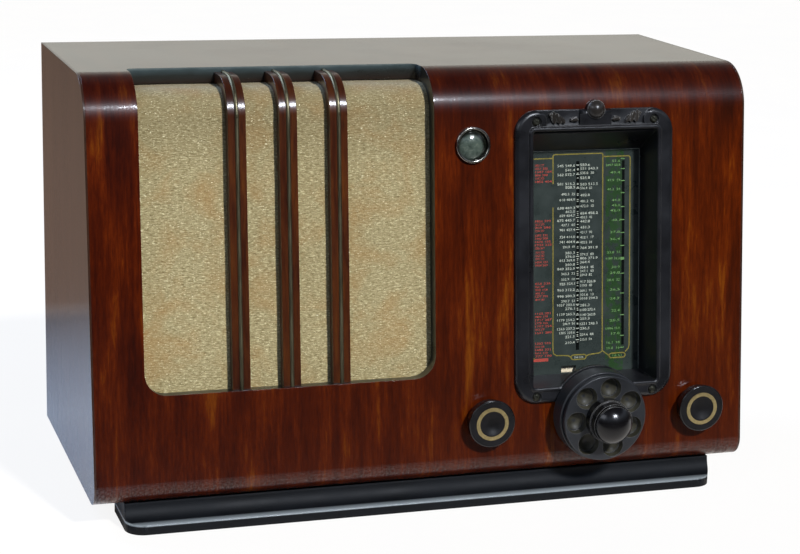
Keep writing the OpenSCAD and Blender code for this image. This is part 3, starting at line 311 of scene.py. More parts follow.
def plinthLacquer(s):
    # black spirit lacquer, nearly matt, with a polished rounded edge along the plinth's lip, paled there by a painted
    # highlight
    m, t, b = newMaterial("black_lacquer")
    wear = pattern(t, [s["patch"]] * 3, 5, 0.6)
    away = addNode(t, "Math", [axis(t, 2), s["lip"]], operation="SUBTRACT")
    away = addNode(t, "Math", [away], operation="ABSOLUTE")
    near = addNode(t, "MapRange", [away, s["half"], s["fade"], 1.0, 0.0])
    # painted highlight: the lacquer's colour is paled along the lip
    lipHighlight = addNode(t, "Math", [near, s["lipHighlight"]], operation="MULTIPLY")
    ground = addNode(t, "ValToRGB", [wear], [(0.3, s["dark"]), (0.75, s["light"])])
    rough = addNode(t, "MapRange", [wear, 0.3, 0.8, 0.50, 0.66])
    edge = addNode(t, "Bevel", {"Radius": 0.0022}, samples=4)
    feed(t, b, {
        "Base Color": addNode(t, "Mix", {0: lipHighlight, 6: ground, 7: "93a2b0"}, **mixing),
        "Roughness": addNode(t, "Math", [near, -0.24, rough], operation="MULTIPLY_ADD"),
        "Specular IOR Level": addNode(t, "Math", [near, 0.7, 0.2], operation="MULTIPLY_ADD"),
        "Normal": addNode(t, "Bump", {"Strength": 0.03, "Distance": 0.0004, "Height": wear, "Normal": edge})})
    return m


def cutEndGrain(s):
    # stained end of the roof board at the back of the loudspeaker opening, with painted light: paler and bluer
    # towards its top edge, ending in a painted highlight along it
    m, t, b = newMaterial("roof_cut")
    wear = pattern(t, (33.3, 33.3, 11.1), 4, 0.6)
    up = addNode(t, "Math", [axis(t, 2), 1 / s["height"], -s["low"] / s["height"] - 0.175], operation="MULTIPLY_ADD")
    up = addNode(t, "Math", [wear, 0.35, up], operation="MULTIPLY_ADD")
    feed(t, b, {
        "Base Color": addNode(t, "ValToRGB", [up], s["stops"]),
        "Roughness": addNode(t, "MapRange", [wear, 0.3, 0.8, 0.25, 0.4]),
        "Normal": addNode(t, "Bump", {"Strength": 0.1, "Distance": 0.0004, "Height": wear})})
    return m


def printedGlass(s):
    # glass printed dark grey-green from behind, greener in the short-wave column, a little dusty
    m, t, b = newMaterial("scale_glass")
    dust = pattern(t, (16.67, 16.67, 16.67), 5, 0.6)
    blotch = pattern(t, (4.545, 4.545, 6.25), 3, 0.6)
    after = addNode(t, "Math", [axis(t, 0), s["left"]], operation="GREATER_THAN")
    before = addNode(t, "Math", [axis(t, 0), s["right"]], operation="LESS_THAN")
    column = addNode(t, "Math", [after, before], operation="MULTIPLY")
    patchy = addNode(t, "MapRange", [blotch, 0.42, 0.55, 0.1, 0.85])
    green = addNode(t, "Math", [column, patchy], operation="MULTIPLY")
    ground = addNode(t, "ValToRGB", [dust], [(0.3, s["dark"]), (0.75, s["light"])])
    feed(t, b, {
        "Base Color": addNode(t, "Mix", {0: green, 6: ground, 7: s["green"]}, **mixing),
        "Roughness": addNode(t, "MapRange", [dust, 0.3, 0.8, 0.22, 0.4]),
        "Normal": addNode(t, "Bump", {"Strength": 0.02, "Distance": 0.0003, "Height": blotch})})
    return m


def eyeGlass(s):
    # clear domed glass over the tuning eye's grey-green target, which sits low and left of the middle
    m, t, b = newMaterial("eye_glass")
    flat = addNode(t, "VectorMath", [addNode(t, "TexCoord", out="Object"), (1, 0, 1)], operation="MULTIPLY")
    away = addNode(t, "VectorMath", [flat, (s["x"], 0, s["z"])], out="Value", operation="DISTANCE")
    rim = addNode(t, "MapRange", [away, s["radius"] * 0.72, s["radius"] * 0.90, 0.0, 1.0])
    cloud = pattern(t, (5.263, 5.263, 5.263), 3, 0.6, 0.8)
    target = addNode(t, "ValToRGB", [cloud], s["stops"])
    feed(t, b, {
        "Base Color": addNode(t, "Mix", {0: rim, 6: target, 7: "0c100c"}, **mixing),
        "Roughness": addNode(t, "MapRange", [cloud, 0.3, 0.7, 0.10, 0.2]),
        "Coat Weight": 1.0, "Coat Roughness": 0.03,
        "Normal": addNode(t, "Bump", {"Strength": 0.03, "Distance": 0.0003, "Height": cloud})})
    return m


def valveGlass(s):
    # blown glass, smoky inside from the getter
    m, t, b = newMaterial("valve_glass")
    smoke = pattern(t, [s["smoke"]] * 3, 3, 0.5)
    feed(t, b, {
        "Base Color": addNode(t, "ValToRGB", [smoke], [(0.3, s["dark"]), (0.7, s["light"])]),
        "Roughness": addNode(t, "MapRange", [smoke, 0.3, 0.7, 0.04, 0.10]),
        "Transmission Weight": s["clear"],
        "Normal": addNode(t, "Bump", {"Strength": 0.02, "Distance": 0.0003, "Height": smoke})})
    return m


def wovenCloth(s):
    # coarse grille cloth of cotton with slubs and a metal thread that glints, its pale dots partly a painted glint;
    # real threads are about 0.6 mm apart and are drawn nearly twice as coarse, so that they show
    m, t, b = newMaterial("grille_cloth")
    slub, thread = s["slub"], s["thread"]
    weft = pattern(t, (slub, 0, thread), 2, 0.5, 0.5, True)
    fine = pattern(t, (slub * 0.45, 0, thread * 0.7), 2, 0.6, 0.6, True)
    warp = pattern(t, (thread, 0, thread * 3), 2, 0.5, 0.0, True)
    stain = pattern(t, (s["stain"], 0, s["stain"]), 4, 0.6, 0.5, True)
    spark = pattern(t, (slub * 0.5, 0, thread * 0.8), 1, 0.4, 0.0, True)
    yarn = addNode(t, "Math", [fine, 0.4], operation="MULTIPLY")
    yarn = addNode(t, "Math", [weft, 0.6, yarn], operation="MULTIPLY_ADD")
    colour = addNode(t, "ValToRGB", [yarn], s["stops"])
    stained = addNode(t, "MapRange", [stain, 0.46, 0.74, 0.0, 0.6])
    colour = addNode(t, "Mix", {0: stained, 6: colour, 7: "96713c"}, **mixing)
    crossed = addNode(t, "Math", [warp, 0.30], operation="MULTIPLY")
    colour = addNode(t, "Mix", {0: crossed, 6: colour, 7: "867850"}, **mixing)
    high = addNode(t, "MapRange", [axis(t, 2), 0.27, 0.32, 0.0, s["shade"]])  # painted shade over the roll, where the opening's edge shades the cloth
    colour = addNode(t, "Mix", {0: high, 6: colour, 7: "4a4028"}, **mixing)
    # pale metallic dots of thread, their paleness partly a painted glint
    glint = addNode(t, "MapRange", [spark, 0.66, 0.72, 0.0, 1.0])
    paintedGlint = addNode(t, "Math", [glint, 0.8], operation="MULTIPLY")
    height = addNode(t, "Math", [warp, 0.4, yarn], operation="MULTIPLY_ADD")
    feed(t, b, {
        "Base Color": addNode(t, "Mix", {0: paintedGlint, 6: colour, 7: "f4eecb"}, **mixing),
        "Metallic": addNode(t, "Math", [glint, 0.4], operation="MULTIPLY"),
        "Roughness": addNode(t, "MapRange", [glint, 0.0, 1.0, 0.85, 0.34]),
        "Sheen Weight": 0.2,
        "Normal": addNode(t, "Bump", {"Strength": 0.6, "Distance": 0.0014, "Height": height})})
    return m


mats = {
    "front": veneer(frontWood), "side": veneer(sideWood), "roof": veneer(roofWood), "bar": veneer(barWood),
    "plinth": plinthLacquer(dict(patch=50, dark="04060a", light="0a0e14", lip=0.0075, half=0.0004, fade=0.0013,
                                 lipHighlight=0.6)),
    "roofCut": cutEndGrain(dict(low=0.333, height=0.012, stops=[(0.1, "1d1613"), (0.5, "222626"),
                                                                (0.85, "36444a"), (1.0, "5c6a70")])),
    "scale": printedGlass(dict(left=cab["dialX"] + 0.0216, right=cab["dialX"] + 0.0373, dark="262f30",
                               light="333d3e", green="22401f")),
    "eyeGlass": eyeGlass(dict(x=0.0325, z=0.2862, radius=0.0118,
                              stops=[(0.32, "34413e"), (0.55, "4b5955"), (0.75, "6c776f")])),
    "valveGlass": valveGlass(dict(smoke=25, dark="8f9490", light="b9beb9", clear=0.6)),
    "cloth": wovenCloth(dict(slub=3.8, thread=1.1, stain=40, shade=0.36,
                             stops=[(0.32, "5b5338"), (0.41, "827b5a"), (0.50, "979170"), (0.58, "aba684"),
                                    (0.66, "d8d4b2")])),
}
for make, table in ((lacquer, lacquers), (metal, metals), (matte, mattes)):
    for finish, s in table.items():
        mats[finish] = make(s)
print("stage: materials made")

# which finish each CAD node has
finishes = {
    "front": ["cabinet_front"], "roof": ["cabinet_roof"], "side": ["side_left", "side_right"],
    "ply": ["cabinet_bottom", "baffle", "rear_cleats"], "plinth": ["plinth", "rear_batten"],
    "bar": ["grille_bar_left", "grille_bar_middle", "grille_bar_right"], "bead": ["bar_beads"],
    "cloth": ["grille_cloth"], "nickel": ["eye_ring", "rear_screws"], "eyeGlass": ["eye_glass"],
    "frame": ["dial_frame"], "carved": ["dial_ornament"], "aged": ["dial_screws"], "scale": ["dial_scale"],
    "bakelite": ["tuning_disc", "valve_sockets"], "knob": ["volume_knob", "wave_knob", "fine_knob"],
    "ring": ["volume_ring", "wave_ring"], "brass": ["tuning_bearing"], "red": ["pointer"],
    "enamel": ["band_drum"], "board": ["rear_cover"], "paxolin": ["socket_strip"], "rubber": ["mains_grommet"],
    "steel": ["dial_back", "pointer_rail", "volume_shaft", "wave_shaft", "tuning_tube", "fine_shaft", "chassis",
              "wave_switch"],
    "alloy": ["volume_control", "gang_frame", "gang_rotor", "filter_cans", "smoothing_cans"],
    "iron": ["eye_tube", "mains_transformer", "output_transformer", "speaker_basket", "speaker_magnet"],
    "coated": ["mixer_valve", "middle_valve", "detector_valve", "output_valve"],
    "valveGlass": ["rectifier_valve"], "cone": ["speaker_cone"],
}
bodyOf = {n: body for body, names in frame["record"]["behaviour"]["bodies"].items() for n in names}


def dress(obj, material):
    obj.data.materials.clear()
    obj.data.materials.append(material)


for finish, names in finishes.items():
    for n in names:
        dress(nodes[n], mats[finish])

smoothing = dict(merge=0.000004, flat=math.radians(0.3), angle=math.radians(32), weight=90)


def smoothCopy(node):
    # a merged copy with even normals stands for the CAD node, whose own mesh is left alone
    clearSelection()
    piece = bpy.data.objects.new(node + "_look", nodes[node].data.copy())
    bpy.context.collection.objects.link(piece)
    bpy.context.view_layer.objects.active = piece
    piece.select_set(True)
    bpy.ops.object.mode_set(mode="EDIT")
    bpy.ops.mesh.select_all(action="SELECT")
    bpy.ops.mesh.remove_doubles(threshold=smoothing["merge"])
    bpy.ops.mesh.dissolve_limited(angle_limit=smoothing["flat"])
    bpy.ops.object.mode_set(mode="OBJECT")
    bpy.ops.object.shade_smooth_by_angle(angle=smoothing["angle"])
    even = piece.modifiers.new("even", "WEIGHTED_NORMAL")
    even.weight = smoothing["weight"]
    even.keep_sharp = True
    bpy.ops.object.modifier_apply(modifier="even")
    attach(piece, bodyOf[node])
    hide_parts(node)
    return piece


looks = {n: smoothCopy(n) for n in nodes if n != "grille_cloth"}


def paintFaces(piece, material, chosen):
    # a second finish for the faces that a test picks by place and direction
    piece.data.materials.append(material)
    for p in piece.data.polygons:
        if chosen(p.center, p.normal):
            p.material_index = 1


opening = dict(left=-0.2306, right=0.0036, sill=0.09)
windows = dict(left=0.0026, right=0.262, low=0.03, high=0.284)  # dial window and tuning eye
dialWell = dict(half=0.0575, top=0.272, depth=0.002)
discHoles = dict(x=cab["dialX"], z=cab["bottomZ"] + 0.0502, inner=0.0165, outer=0.0335, face=cab["frontY"] - 0.006)


def inOpening(p):
    return opening["left"] < p.x < opening["right"]


def cutEdge(p, n):
    # walls of the loudspeaker opening, the dial window and the eye's hole
    if inOpening(p) and (abs(n.x) > 0.3 or (n.z * cosR + n.y * sinR > 0.9 and upFront(p) < opening["sill"])):
        return True
    inWindows = windows["left"] < p.x < windows["right"] and windows["low"] < upFront(p) < windows["high"]
    return inWindows and facingFront(n) < 0.3


def roofEdge(p, n):
    return inOpening(p) and abs(n.z) < 0.5 and p.y < 0.0


def fingerHole(p, n):
    away = math.hypot(p.x - discHoles["x"], p.z - discHoles["z"])
    return discHoles["inner"] < away < discHoles["outer"] and abs(n.y) < 0.985 and p.y < discHoles["face"]


def inSill(p, n):
    # inner faces of the dial frame that look up or sideways into the window
    inWell = abs(p.x - cab["dialX"]) < dialWell["half"] and upFront(p) < dialWell["top"]
    return inWell and behindFront(p) > dialWell["depth"] and facingFront(n) < 0.6


def dishOf(ring, share=0.86):
    # a test for the dished face inside a knob's brass ring
    low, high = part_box(ring)
    x, z, reach = (low[0] + high[0]) / 2, (low[2] + high[2]) / 2, (high[0] - low[0]) / 2 * share

    def inDish(p, n):
        return n.y < -0.4 and math.hypot(p.x - x, p.z - z) < reach
    return inDish


def dishCap(ring, body, s):
    # thin cap of the knob's own material in the middle of its dish
    clearSelection()
    low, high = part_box(ring)
    x, z = (low[0] + high[0]) / 2, (low[2] + high[2]) / 2
    bpy.ops.mesh.primitive_circle_add(vertices=32, radius=s["radius"], fill_type="TRIFAN", location=(0, 0, 0))
    piece = bpy.context.object
    piece.name = body + "_dish_cap"
    for v in piece.data.vertices:
        bowl = math.sqrt(s["dish"] ** 2 - v.co.x ** 2 - v.co.y ** 2)
        v.co = Vector((x + v.co.x, s["centre"] + bowl, z + v.co.y))
    bpy.ops.object.shade_smooth()
    dress(piece, mats["dish"])
    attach(piece, body)


paintFaces(looks["cabinet_front"], mats["reveal"], cutEdge)
paintFaces(looks["cabinet_roof"], mats["roofCut"], roofEdge)
paintFaces(looks["tuning_disc"], mats["dusty"], fingerHole)
paintFaces(looks["dial_frame"], mats["sill"], inSill)
for body in ("volume", "wave"):
    dishCap(body + "_ring", body, dict(radius=0.0026, dish=0.01545, centre=-0.119))
    paintFaces(looks[body + "_knob"], mats["dish"], dishOf(body + "_ring"))
print("stage: CAD nodes dressed")


def grilleCloth(s):
    # a thin sheet up the front, round the roll and into the roof, with a slight sag
    clearSelection()
    low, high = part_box("grille_cloth")
    middle, width = (low[0] + high[0]) / 2, high[0] - low[0] - s["play"]
    inner = cab["rollTop"] - s["depth"]
    bend = inner * (math.pi / 2 - cab["rake"])
    flat = straightEnd - s["start"]
    length = flat + bend + s["back"] - rollY
    columns, rows = s["mesh"]
    bpy.ops.mesh.primitive_grid_add(x_subdivisions=columns, y_subdivisions=rows, size=1, location=(0, 0, 0))
    piece = bpy.context.object
    piece.name = "cloth"
    for v in piece.data.vertices:
        x = middle + v.co.x * width
        along = (v.co.y + 0.5) * length
        sag = s["sag"] * math.sin(x * 90) * math.sin(along * 70)
        if along < flat:
            v.co = onFront(x, s["start"] + along, s["depth"] + sag)
        elif along < flat + bend:
            a = cab["rake"] + (along - flat) / inner
            r = inner - sag
            v.co = (x, cab["frontY"] + rollY - r * math.cos(a), cab["bottomZ"] + rollZ + r * math.sin(a))
        else:
            v.co = (x, cab["frontY"] + rollY + along - flat - bend, cab["bottomZ"] + rollZ + inner - sag)
    bpy.ops.object.mode_set(mode="EDIT")
    bpy.ops.mesh.select_all(action="SELECT")
    bpy.ops.mesh.normals_make_consistent(inside=False)
    bpy.ops.object.mode_set(mode="OBJECT")
    bpy.ops.object.shade_smooth()
    dress(piece, mats["cloth"])
    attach(piece, "cabinet")
    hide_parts("grille_cloth")


grilleCloth(dict(depth=0.0129, start=0.0800, back=0.0915, play=0.001, sag=0.00025, mesh=(60, 72)))
print("stage: cloth made")

# The scale is flat print just proud of the dark glass. Rows are counted in the photo's picture rows, from the
# top row down, and step is the height of one of them.
dial = dict(depth=0.025, proud=0.00006, topRow=160, topUp=0.2514, step=0.000821, rows=190)


def rowUp(row):
    return dial["topUp"] - (row - dial["topRow"]) * dial["step"]


def place(piece, proud=0.0):
    for v in piece.data.vertices:
        v.co = onFront(cab["dialX"] + v.co.x, v.co.y, dial["depth"] - dial["proud"] - proud)


def textMesh(body, height, width, align="LEFT"):
    # flat number, height and width in metres, standing on y = 0
    clearSelection()
    bpy.ops.object.text_add(location=(0, 0, 0))
    piece = bpy.context.object
    piece.data.body = body
    piece.data.resolution_u = 2
    piece.data.offset = 0.014  # a little bolder, as printed
    bpy.ops.object.convert(target="MESH")
    piece = bpy.context.object
    xs = [v.co.x for v in piece.data.vertices]
    ys = [v.co.y for v in piece.data.vertices]
    scaleX, scaleY = width / (max(xs) - min(xs)), height / (max(ys) - min(ys))
    left = {"LEFT": min(xs), "RIGHT": max(xs), "CENTER": (min(xs) + max(xs)) / 2}[align]
    for v in piece.data.vertices:
        v.co = Vector(((v.co.x - left) * scaleX, (v.co.y - min(ys)) * scaleY, 0))
    return piece


def shifted(piece, x, y):
    for v in piece.data.vertices:
        v.co.x += x
        v.co.y += y
    return piece


def joined(pieces, name, material, body="cabinet"):
    clearSelection()
    for p in pieces:
        p.select_set(True)
    bpy.context.view_layer.objects.active = pieces[0]
    bpy.ops.object.join()
    piece = bpy.context.object
    piece.name = name
    dress(piece, material)
    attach(piece, body)


def block(x0, x1, y0, y1):
    # flat patch on the scale
    clearSelection()
    bpy.ops.mesh.primitive_plane_add(size=1, location=(0, 0, 0))
    piece = bpy.context.object
    for v in piece.data.vertices:
        v.co = Vector(((x0 + x1) / 2 + v.co.x * (x1 - x0), (y0 + y1) / 2 + v.co.y * (y1 - y0), 0))
    return piece


def cornerOrder(v):
    return v.co.x, v.co.y


def ribbon(points, width):
    # flat line along points (x, up): a plane is the first stretch, and its far edge is extruded on from there
    clearSelection()
    bpy.ops.mesh.primitive_plane_add(size=1, location=(0, 0, 0))
    piece = bpy.context.object
    bpy.ops.object.mode_set(mode="EDIT")
    mesh = bmesh.from_edit_mesh(piece.data)
    corners = sorted(mesh.verts, key=cornerOrder)
    sides = []
    for i, p in enumerate(points):
        d = (Vector(points[min(i + 1, len(points) - 1)]) - Vector(points[max(i - 1, 0)])).normalized()
        n = Vector((-d.y, d.x)) * width / 2
        sides.append((Vector(p) + n, Vector(p) - n))
    near, pair = (corners[1], corners[0]), (corners[3], corners[2])
    for ends, side in ((near, sides[0]), (pair, sides[1])):
        for v, c in zip(ends, side):
            v.co = (*c, 0)
    for c0, c1 in sides[2:]:
        grown = bmesh.ops.extrude_edge_only(mesh, edges=[mesh.edges.get(pair)])["geom"]
        new = [g for g in grown if isinstance(g, bmesh.types.BMVert)]
        if (new[0].co - pair[0].co).length > (new[1].co - pair[0].co).length:
            new.reverse()
        new[0].co, new[1].co = (*c0, 0), (*c1, 0)
        pair = tuple(new)
    bmesh.ops.recalc_face_normals(mesh, faces=mesh.faces)
    mesh.faces.ensure_lookup_table()
    if mesh.faces[0].normal.z < 0:
        bmesh.ops.reverse_faces(mesh, faces=mesh.faces)
    bmesh.update_edit_mesh(piece.data)
    bpy.ops.object.mode_set(mode="OBJECT")
    return piece


def arc(x, y, r, start, end, steps=6):
    angles = [math.radians(start + (end - start) * i / steps) for i in range(steps + 1)]
    return [(x + r * math.cos(a), y + r * math.sin(a)) for a in angles]


def lozenge(x0, x1, y, half):
    # outline of a long cartouche with round ends
    return arc(x1 - half, y, half, -90, 90) + arc(x0 + half, y, half, 90, 270) + [(x1 - half, y - half)]


def scaleLines(s):
    # the second set of lines is a painted highlight along the scale glass's edges
    for name, material, width, paths in (("scale_lines", "goldPrint", s["width"], s["gold"]),
                                         ("scale_edge_highlight", "edgeLight", s["edgeWidth"], s["edges"])):
        lines = [ribbon(p, width) for p in paths]
        for piece in lines:
            place(piece)
        joined(lines, name, mats[material])


scaleLines(dict(
    width=0.0010, edgeWidth=0.0005,
    gold=[
        [(-0.0515, 0.2533), (-0.0253, 0.2533)],
        [(-0.0248, 0.0965), (-0.0248, 0.2135)],
        [(-0.0248, 0.2325), (-0.0248, 0.2535), *arc(-0.0233, 0.2548, 0.0015, 180, 90),
         *arc(0.0173, 0.2548, 0.0015, 90, 0), (0.0188, 0.0935)],
        [(0.0188, 0.2535), *arc(0.0412, 0.2517, 0.0018, 90, 0), (0.0430, 0.0975), (0.0424, 0.0945), (0.0394, 0.0915)],
        [(-0.0248, 0.0965), (-0.0243, 0.0935), (-0.0215, 0.0918), (-0.016, 0.0915), (-0.0115, 0.0912),
         (-0.0088, 0.0898)],
        [(0.0045, 0.0898), (0.0070, 0.0910), (0.0120, 0.0915), (0.0165, 0.0918), (0.0188, 0.0935),
         (0.0212, 0.0918), (0.0250, 0.0892)],
        lozenge(-0.0088, 0.0045, 0.0895, 0.0019), lozenge(0.0250, 0.0394, 0.0890, 0.0019),
        [(-0.0515, 0.0925), (-0.0455, 0.0915), (-0.0405, 0.0900)]],
    edges=[[(-0.0512, 0.2592), (0.0512, 0.2592)], [(0.0512, 0.2592), (0.0512, 0.0768)]]))


def numbersFor(low, high, row, wide):
    # a frequency, and a wave length where there is room
    metres = low + (high - low) * ((row - dial["topRow"]) / dial["rows"])
    kilo = 299792 / metres
    if wide > 0.0125:
        return "%d %.1f" % (kilo, metres)
    if wide > 0.0095:
        return "%.1f  %d" % (metres, int(kilo) % 90 + 10)
    return "%.1f" % metres


def scaleNumbers(s):
    white, green, red = [], [], []
    high = s["height"]
    for side, x, rows in (("RIGHT", -0.0056, s["left"]), ("LEFT", -0.0010, s["right"])):
        for row in rows:
            wide = random.choice(s["widths"])
            number = textMesh(numbersFor(560, 195, row, wide), high, wide, side)
            white.append(shifted(number, x, rowUp(row) - high / 2))
    tracks = [block(-0.0046, -0.0018, 0.0955, 0.2505), block(0.0358, 0.0382, 0.0975, 0.2500)]
    for i, row in enumerate(sorted(s["left"] + s["right"])):
        half = 0.0007 if i % 5 else 0.0014
        white.append(block(-0.0032 - half, -0.0032 + half, rowUp(row) - 0.0003, rowUp(row) + 0.0003))
    for row in s["greenTicks"]:
        thick = 0.0011 if row == s["broadTick"] else 0.00035
        green.append(block(0.0347, 0.0382, rowUp(row) - thick, rowUp(row) + thick))
    for row in s["green"]:
        wide = random.choice(s["greenWidths"])
        number = textMesh(numbersFor(52, 15, row, wide), high * 0.95, wide, "RIGHT")
        green.append(shifted(number, 0.0344, rowUp(row) - high / 2))
    for row, last in s["red"]:
        while row < last:
            wide = random.choice(s["redWidths"])
            body = "%d %d" % (random.randint(700, 1990), random.randint(150, 420))
            red.append(shifted(textMesh(body, high * 0.85, wide), -0.0404, rowUp(row) - high / 2))
            row += s["redStep"]
    red.append(block(-0.0440, -0.0290, 0.0876, 0.0902))
    white.append(shifted(textMesh("200 550", 0.0016, 0.008, "CENTER"), -0.0021, 0.0886))
    green.append(shifted(textMesh("16 51", 0.0016, 0.008, "CENTER"), 0.0322, 0.0881))
    for pieces, name, material, proud in ((tracks, "scale_tracks", "darkPrint", -0.00003),
                                          (white, "scale_white", "whitePrint", 0.0),
                                          (green, "scale_green", "greenPrint", 0.0),
                                          (red, "scale_red", "redPrint", 0.0)):
        for piece in pieces:
            place(piece, proud)
        joined(pieces, name, mats[material])


scaleNumbers(dict(
    height=0.0021, widths=(0.0085, 0.0105, 0.012, 0.0135, 0.0155), greenWidths=(0.0075, 0.009, 0.0115, 0.013),
    redWidths=(0.008, 0.011, 0.0135, 0.0145), redStep=3.2, broadTick=260,
    left=[165.4, 169.7, 174.2, 183.3, 186.9, 193.6, 199.1, 207.2, 211, 214.8, 219.5, 224, 229, 236, 241, 246, 252,
          255.8, 259.4, 263.7, 267.8, 272.8, 278.2, 282.8, 289, 295.2, 300.2, 303.9, 307.8, 313.4, 319.2, 323, 328,
          332, 336.2, 342],
    right=[164.9, 168.7, 173, 177.8, 184.2, 187.9, 195, 201, 205.8, 213, 217, 221, 227, 232, 237, 242, 247.5,
           254.1, 257.9, 261.8, 267, 270.8, 274.6, 281.4, 285.2, 290.6, 294.5, 298.3, 305.1, 309.7, 314.7, 318.6,
           323.8, 328.4, 334.6, 339.6],
    greenTicks=[160, 170, 182, 194, 208, 221, 234, 247, 260, 275, 295, 317, 338, 350],
    green=[162, 166, 173.5, 181.1, 190, 201, 206.3, 211.3, 221, 233, 240, 253.3, 259.5, 268.2, 274, 281, 291, 300,
           312, 322, 330, 335.4, 344.5, 350],
    red=[(164, 183), (219, 229), (233, 246), (250, 264), (281, 298), (311, 332), (341, 354)]))


def bandNumbers(s):
    # small numbers round the drum, one pair for each wave band
    axle = onFront(cab["dialX"] + s["x"], s["up"], s["depth"])
    pieces = []
    for angle, body in s["bands"].items():
        piece = textMesh(body, s["height"], s["width"], "CENTER")
        for v in piece.data.vertices:
            a = math.radians(angle) + (v.co.y - s["height"] / 2) / s["radius"]
            out = Vector((0, -cosR, sinR)) * math.cos(a) + Vector((0, sinR, cosR)) * math.sin(a)
            v.co = axle + Vector((v.co.x, 0, 0)) + out * s["radius"]
        pieces.append(piece)
    joined(pieces, "band_numbers", mats["greyPrint"], "band")


bandNumbers(dict(x=-0.011, up=0.080, depth=0.0395, radius=0.01008, height=0.0019, width=0.0095,
                 bands={-120: "16 51", 0: "200 550", 120: "800 2000"}))
print("stage: scale printed")


def towards(azimuth, elevation):
    # direction from the object, azimuth in degrees to the right of straight in front
    a, e = math.radians(azimuth), math.radians(elevation)
    return Vector((math.sin(a) * math.cos(e), -math.cos(a) * math.cos(e), math.sin(e)))


def camera(s):
    # the photo's own viewpoint; focal is in the photo's pixels, across its width
    cam = bpy.data.cameras.new("camera")
    cam.sensor_width = 36
    cam.lens = s["focal"] / s["across"] * cam.sensor_width
    obj = bpy.data.objects.new("camera", cam)
    bpy.context.scene.collection.objects.link(obj)
    a, r = math.radians(s["azimuth"]), math.radians(s["roll"])
    back = towards(s["azimuth"], s["elevation"])
    right = Vector((math.cos(a), math.sin(a), 0))
    up = back.cross(right)
    axes = (math.cos(r) * right + math.sin(r) * up, -math.sin(r) * right + math.cos(r) * up, back)
    m = Matrix(axes).transposed().to_4x4()
    m.translation = s["place"]
    obj.matrix_world = m
    bpy.context.scene.camera = obj


camera(dict(focal=2044.9, across=800, azimuth=-18.199, elevation=13.64, roll=1.509,
            place=(-0.5108, -1.5543, 0.5634)))


def floor(s):
    # pale paper that keeps the shadow; reflections see it dim in front and brown behind
    clearSelection()
    bpy.ops.mesh.primitive_plane_add(size=s["size"], location=(0, 0, 0))
    piece = bpy.context.object
    piece.name = "floor"
    m, t, b = newMaterial("floor")
    paper = addNode(t, "ValToRGB", [pattern(t, (125, 125, 125), 3, 0.5)], [(0.2, s["colour"]), (0.8, "ffffff")])
    behind = addNode(t, "MapRange", [axis(t, 1), *s["behind"], 0.0, 1.0])
    ahead = addNode(t, "MapRange", [axis(t, 1), *s["ahead"], 0.0, 1.0])
    colour = addNode(t, "Mix", {0: behind, 6: paper, 7: s["far"]}, **mixing)
    colour = addNode(t, "Mix", {0: ahead, 6: colour, 7: s["near"]}, **mixing)
    camRay, clearRay, glossRay = (addNode(t, "LightPath", out="Is %s Ray" % k)
                                  for k in ("Camera", "Transmission", "Glossy"))
    seen = addNode(t, "Math", [camRay, clearRay], operation="MAXIMUM")
    feed(t, b, {"Base Color": addNode(t, "Mix", {0: seen, 6: colour, 7: paper}, **mixing),
                "Roughness": 0.9, "Specular IOR Level": 0.1})
    mirrored = addNode(t, "Math", [glossRay, s["mirrored"]], operation="MULTIPLY")
    share = addNode(t, "Math", [seen, s["white"], mirrored], operation="MULTIPLY_ADD")
    glow = addNode(t, "Emission", ["ffffff"])
    surface = [n for n in t.nodes if n.type == "OUTPUT_MATERIAL"][0]
    feed(t, surface, [addNode(t, "MixShader", [share, b.outputs[0], glow])])
    dress(piece, m)


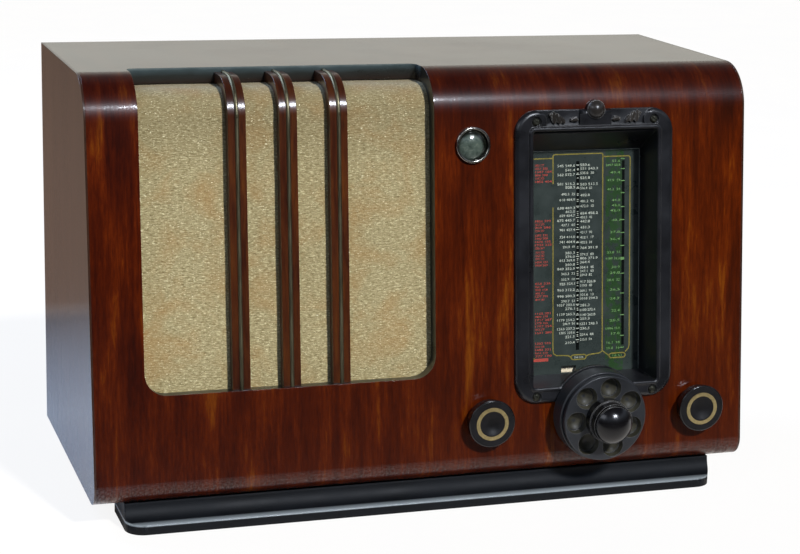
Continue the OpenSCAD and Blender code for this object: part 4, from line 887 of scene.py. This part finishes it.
def world(s):
    # white paper behind the set, a dim room in front of it
    w = bpy.data.worlds.new("room")
    bpy.context.scene.world = w
    w.use_nodes = True
    t = w.node_tree
    t.nodes.clear()
    aim = addNode(t, "TexCoord", out="Generated")
    depth, height = (addNode(t, "SeparateXYZ", [aim], out=i) for i in (1, 2))
    height = addNode(t, "MapRange", [height, -1.0, 1.0, 0.0, 1.0])
    rear = addNode(t, "MapRange", [depth, *s["turn"], 0.0, 1.0])
    front, back = (addNode(t, "ValToRGB", [height], s[k]) for k in ("front", "back"))
    room = addNode(t, "Background", [addNode(t, "Mix", {0: rear, 6: front, 7: back}, **mixing), s["strength"]])
    plain = addNode(t, "Background", ["ffffff"])
    camRay, clearRay, glossRay = (addNode(t, "LightPath", out="Is %s Ray" % k)
                                  for k in ("Camera", "Transmission", "Glossy"))
    seen = addNode(t, "Math", [camRay, clearRay], operation="MAXIMUM")
    mirrored = addNode(t, "Math", [rear, s["mirrored"]], operation="MULTIPLY")
    share = addNode(t, "Math", [glossRay, mirrored, seen], operation="MULTIPLY_ADD")
    feed(t, t.nodes.new("ShaderNodeOutputWorld"), [addNode(t, "MixShader", [share, room, plain])])


def addLight(name, kind, s):
    light = bpy.data.lights.new(name, kind)
    light.energy = s["power"]
    light.color = linear(s["colour"])[:3]
    obj = bpy.data.objects.new(name, light)
    bpy.context.scene.collection.objects.link(obj)
    way = towards(s["azimuth"], s["elevation"])
    obj.rotation_euler = (-way).to_track_quat("-Z", "Y").to_euler()
    if kind == "SUN":
        light.angle = math.radians(s["angle"])
    else:
        light.shape = "RECTANGLE"
        light.size, light.size_y = s["size"]
        obj.location = Vector((0, 0, 0.17)) + s["distance"] * way
    return obj


floor(dict(size=12, colour="f0f3fa", far="6a4e3a", near="0d0b0a", behind=(0.22, 0.62), ahead=(-0.12, -0.38),
           white=0.88, mirrored=0.05))
world(dict(turn=(0.20, 0.56), strength=1.0, mirrored=0.10,
           front=[(0.0, "120d0a"), (0.47, "17110d"), (0.53, "0d0c0c"), (0.60, "2a2e34"), (0.68, "727d89"),
                  (0.76, "b0bccd"), (0.84, "3a414f"), (1.0, "17161f")],
           back=[(0.0, "4a3527"), (0.36, "6b4f3b"), (0.46, "7b6250"), (0.54, "c4c4ba"), (0.66, "c0bfb5"),
                 (0.76, "8b8780"), (0.86, "2c2623"), (1.0, "141115")]))
# the key lights the set and the window is what the gloss mirrors of it
key = addLight("key", "SUN", dict(azimuth=16.2, elevation=38, angle=4.0, power=4.3, colour="fff6ea"))
key.visible_glossy = False
window = addLight("window", "AREA", dict(azimuth=15, elevation=38, distance=3.0, size=(0.55, 0.28), power=72,
                                         colour="eef4ff"))
window.visible_diffuse = False
addLight("fill", "AREA", dict(azimuth=-62, elevation=34, distance=3.2, size=(1.6, 1.0), power=12, colour="eef3ff"))
addLight("sky", "AREA", dict(azimuth=-138, elevation=40, distance=2.2, size=(1.2, 0.9), power=31, colour="bcd6ff"))
bpy.context.scene.view_settings.view_transform = "Standard"
print("stage: lights placed")
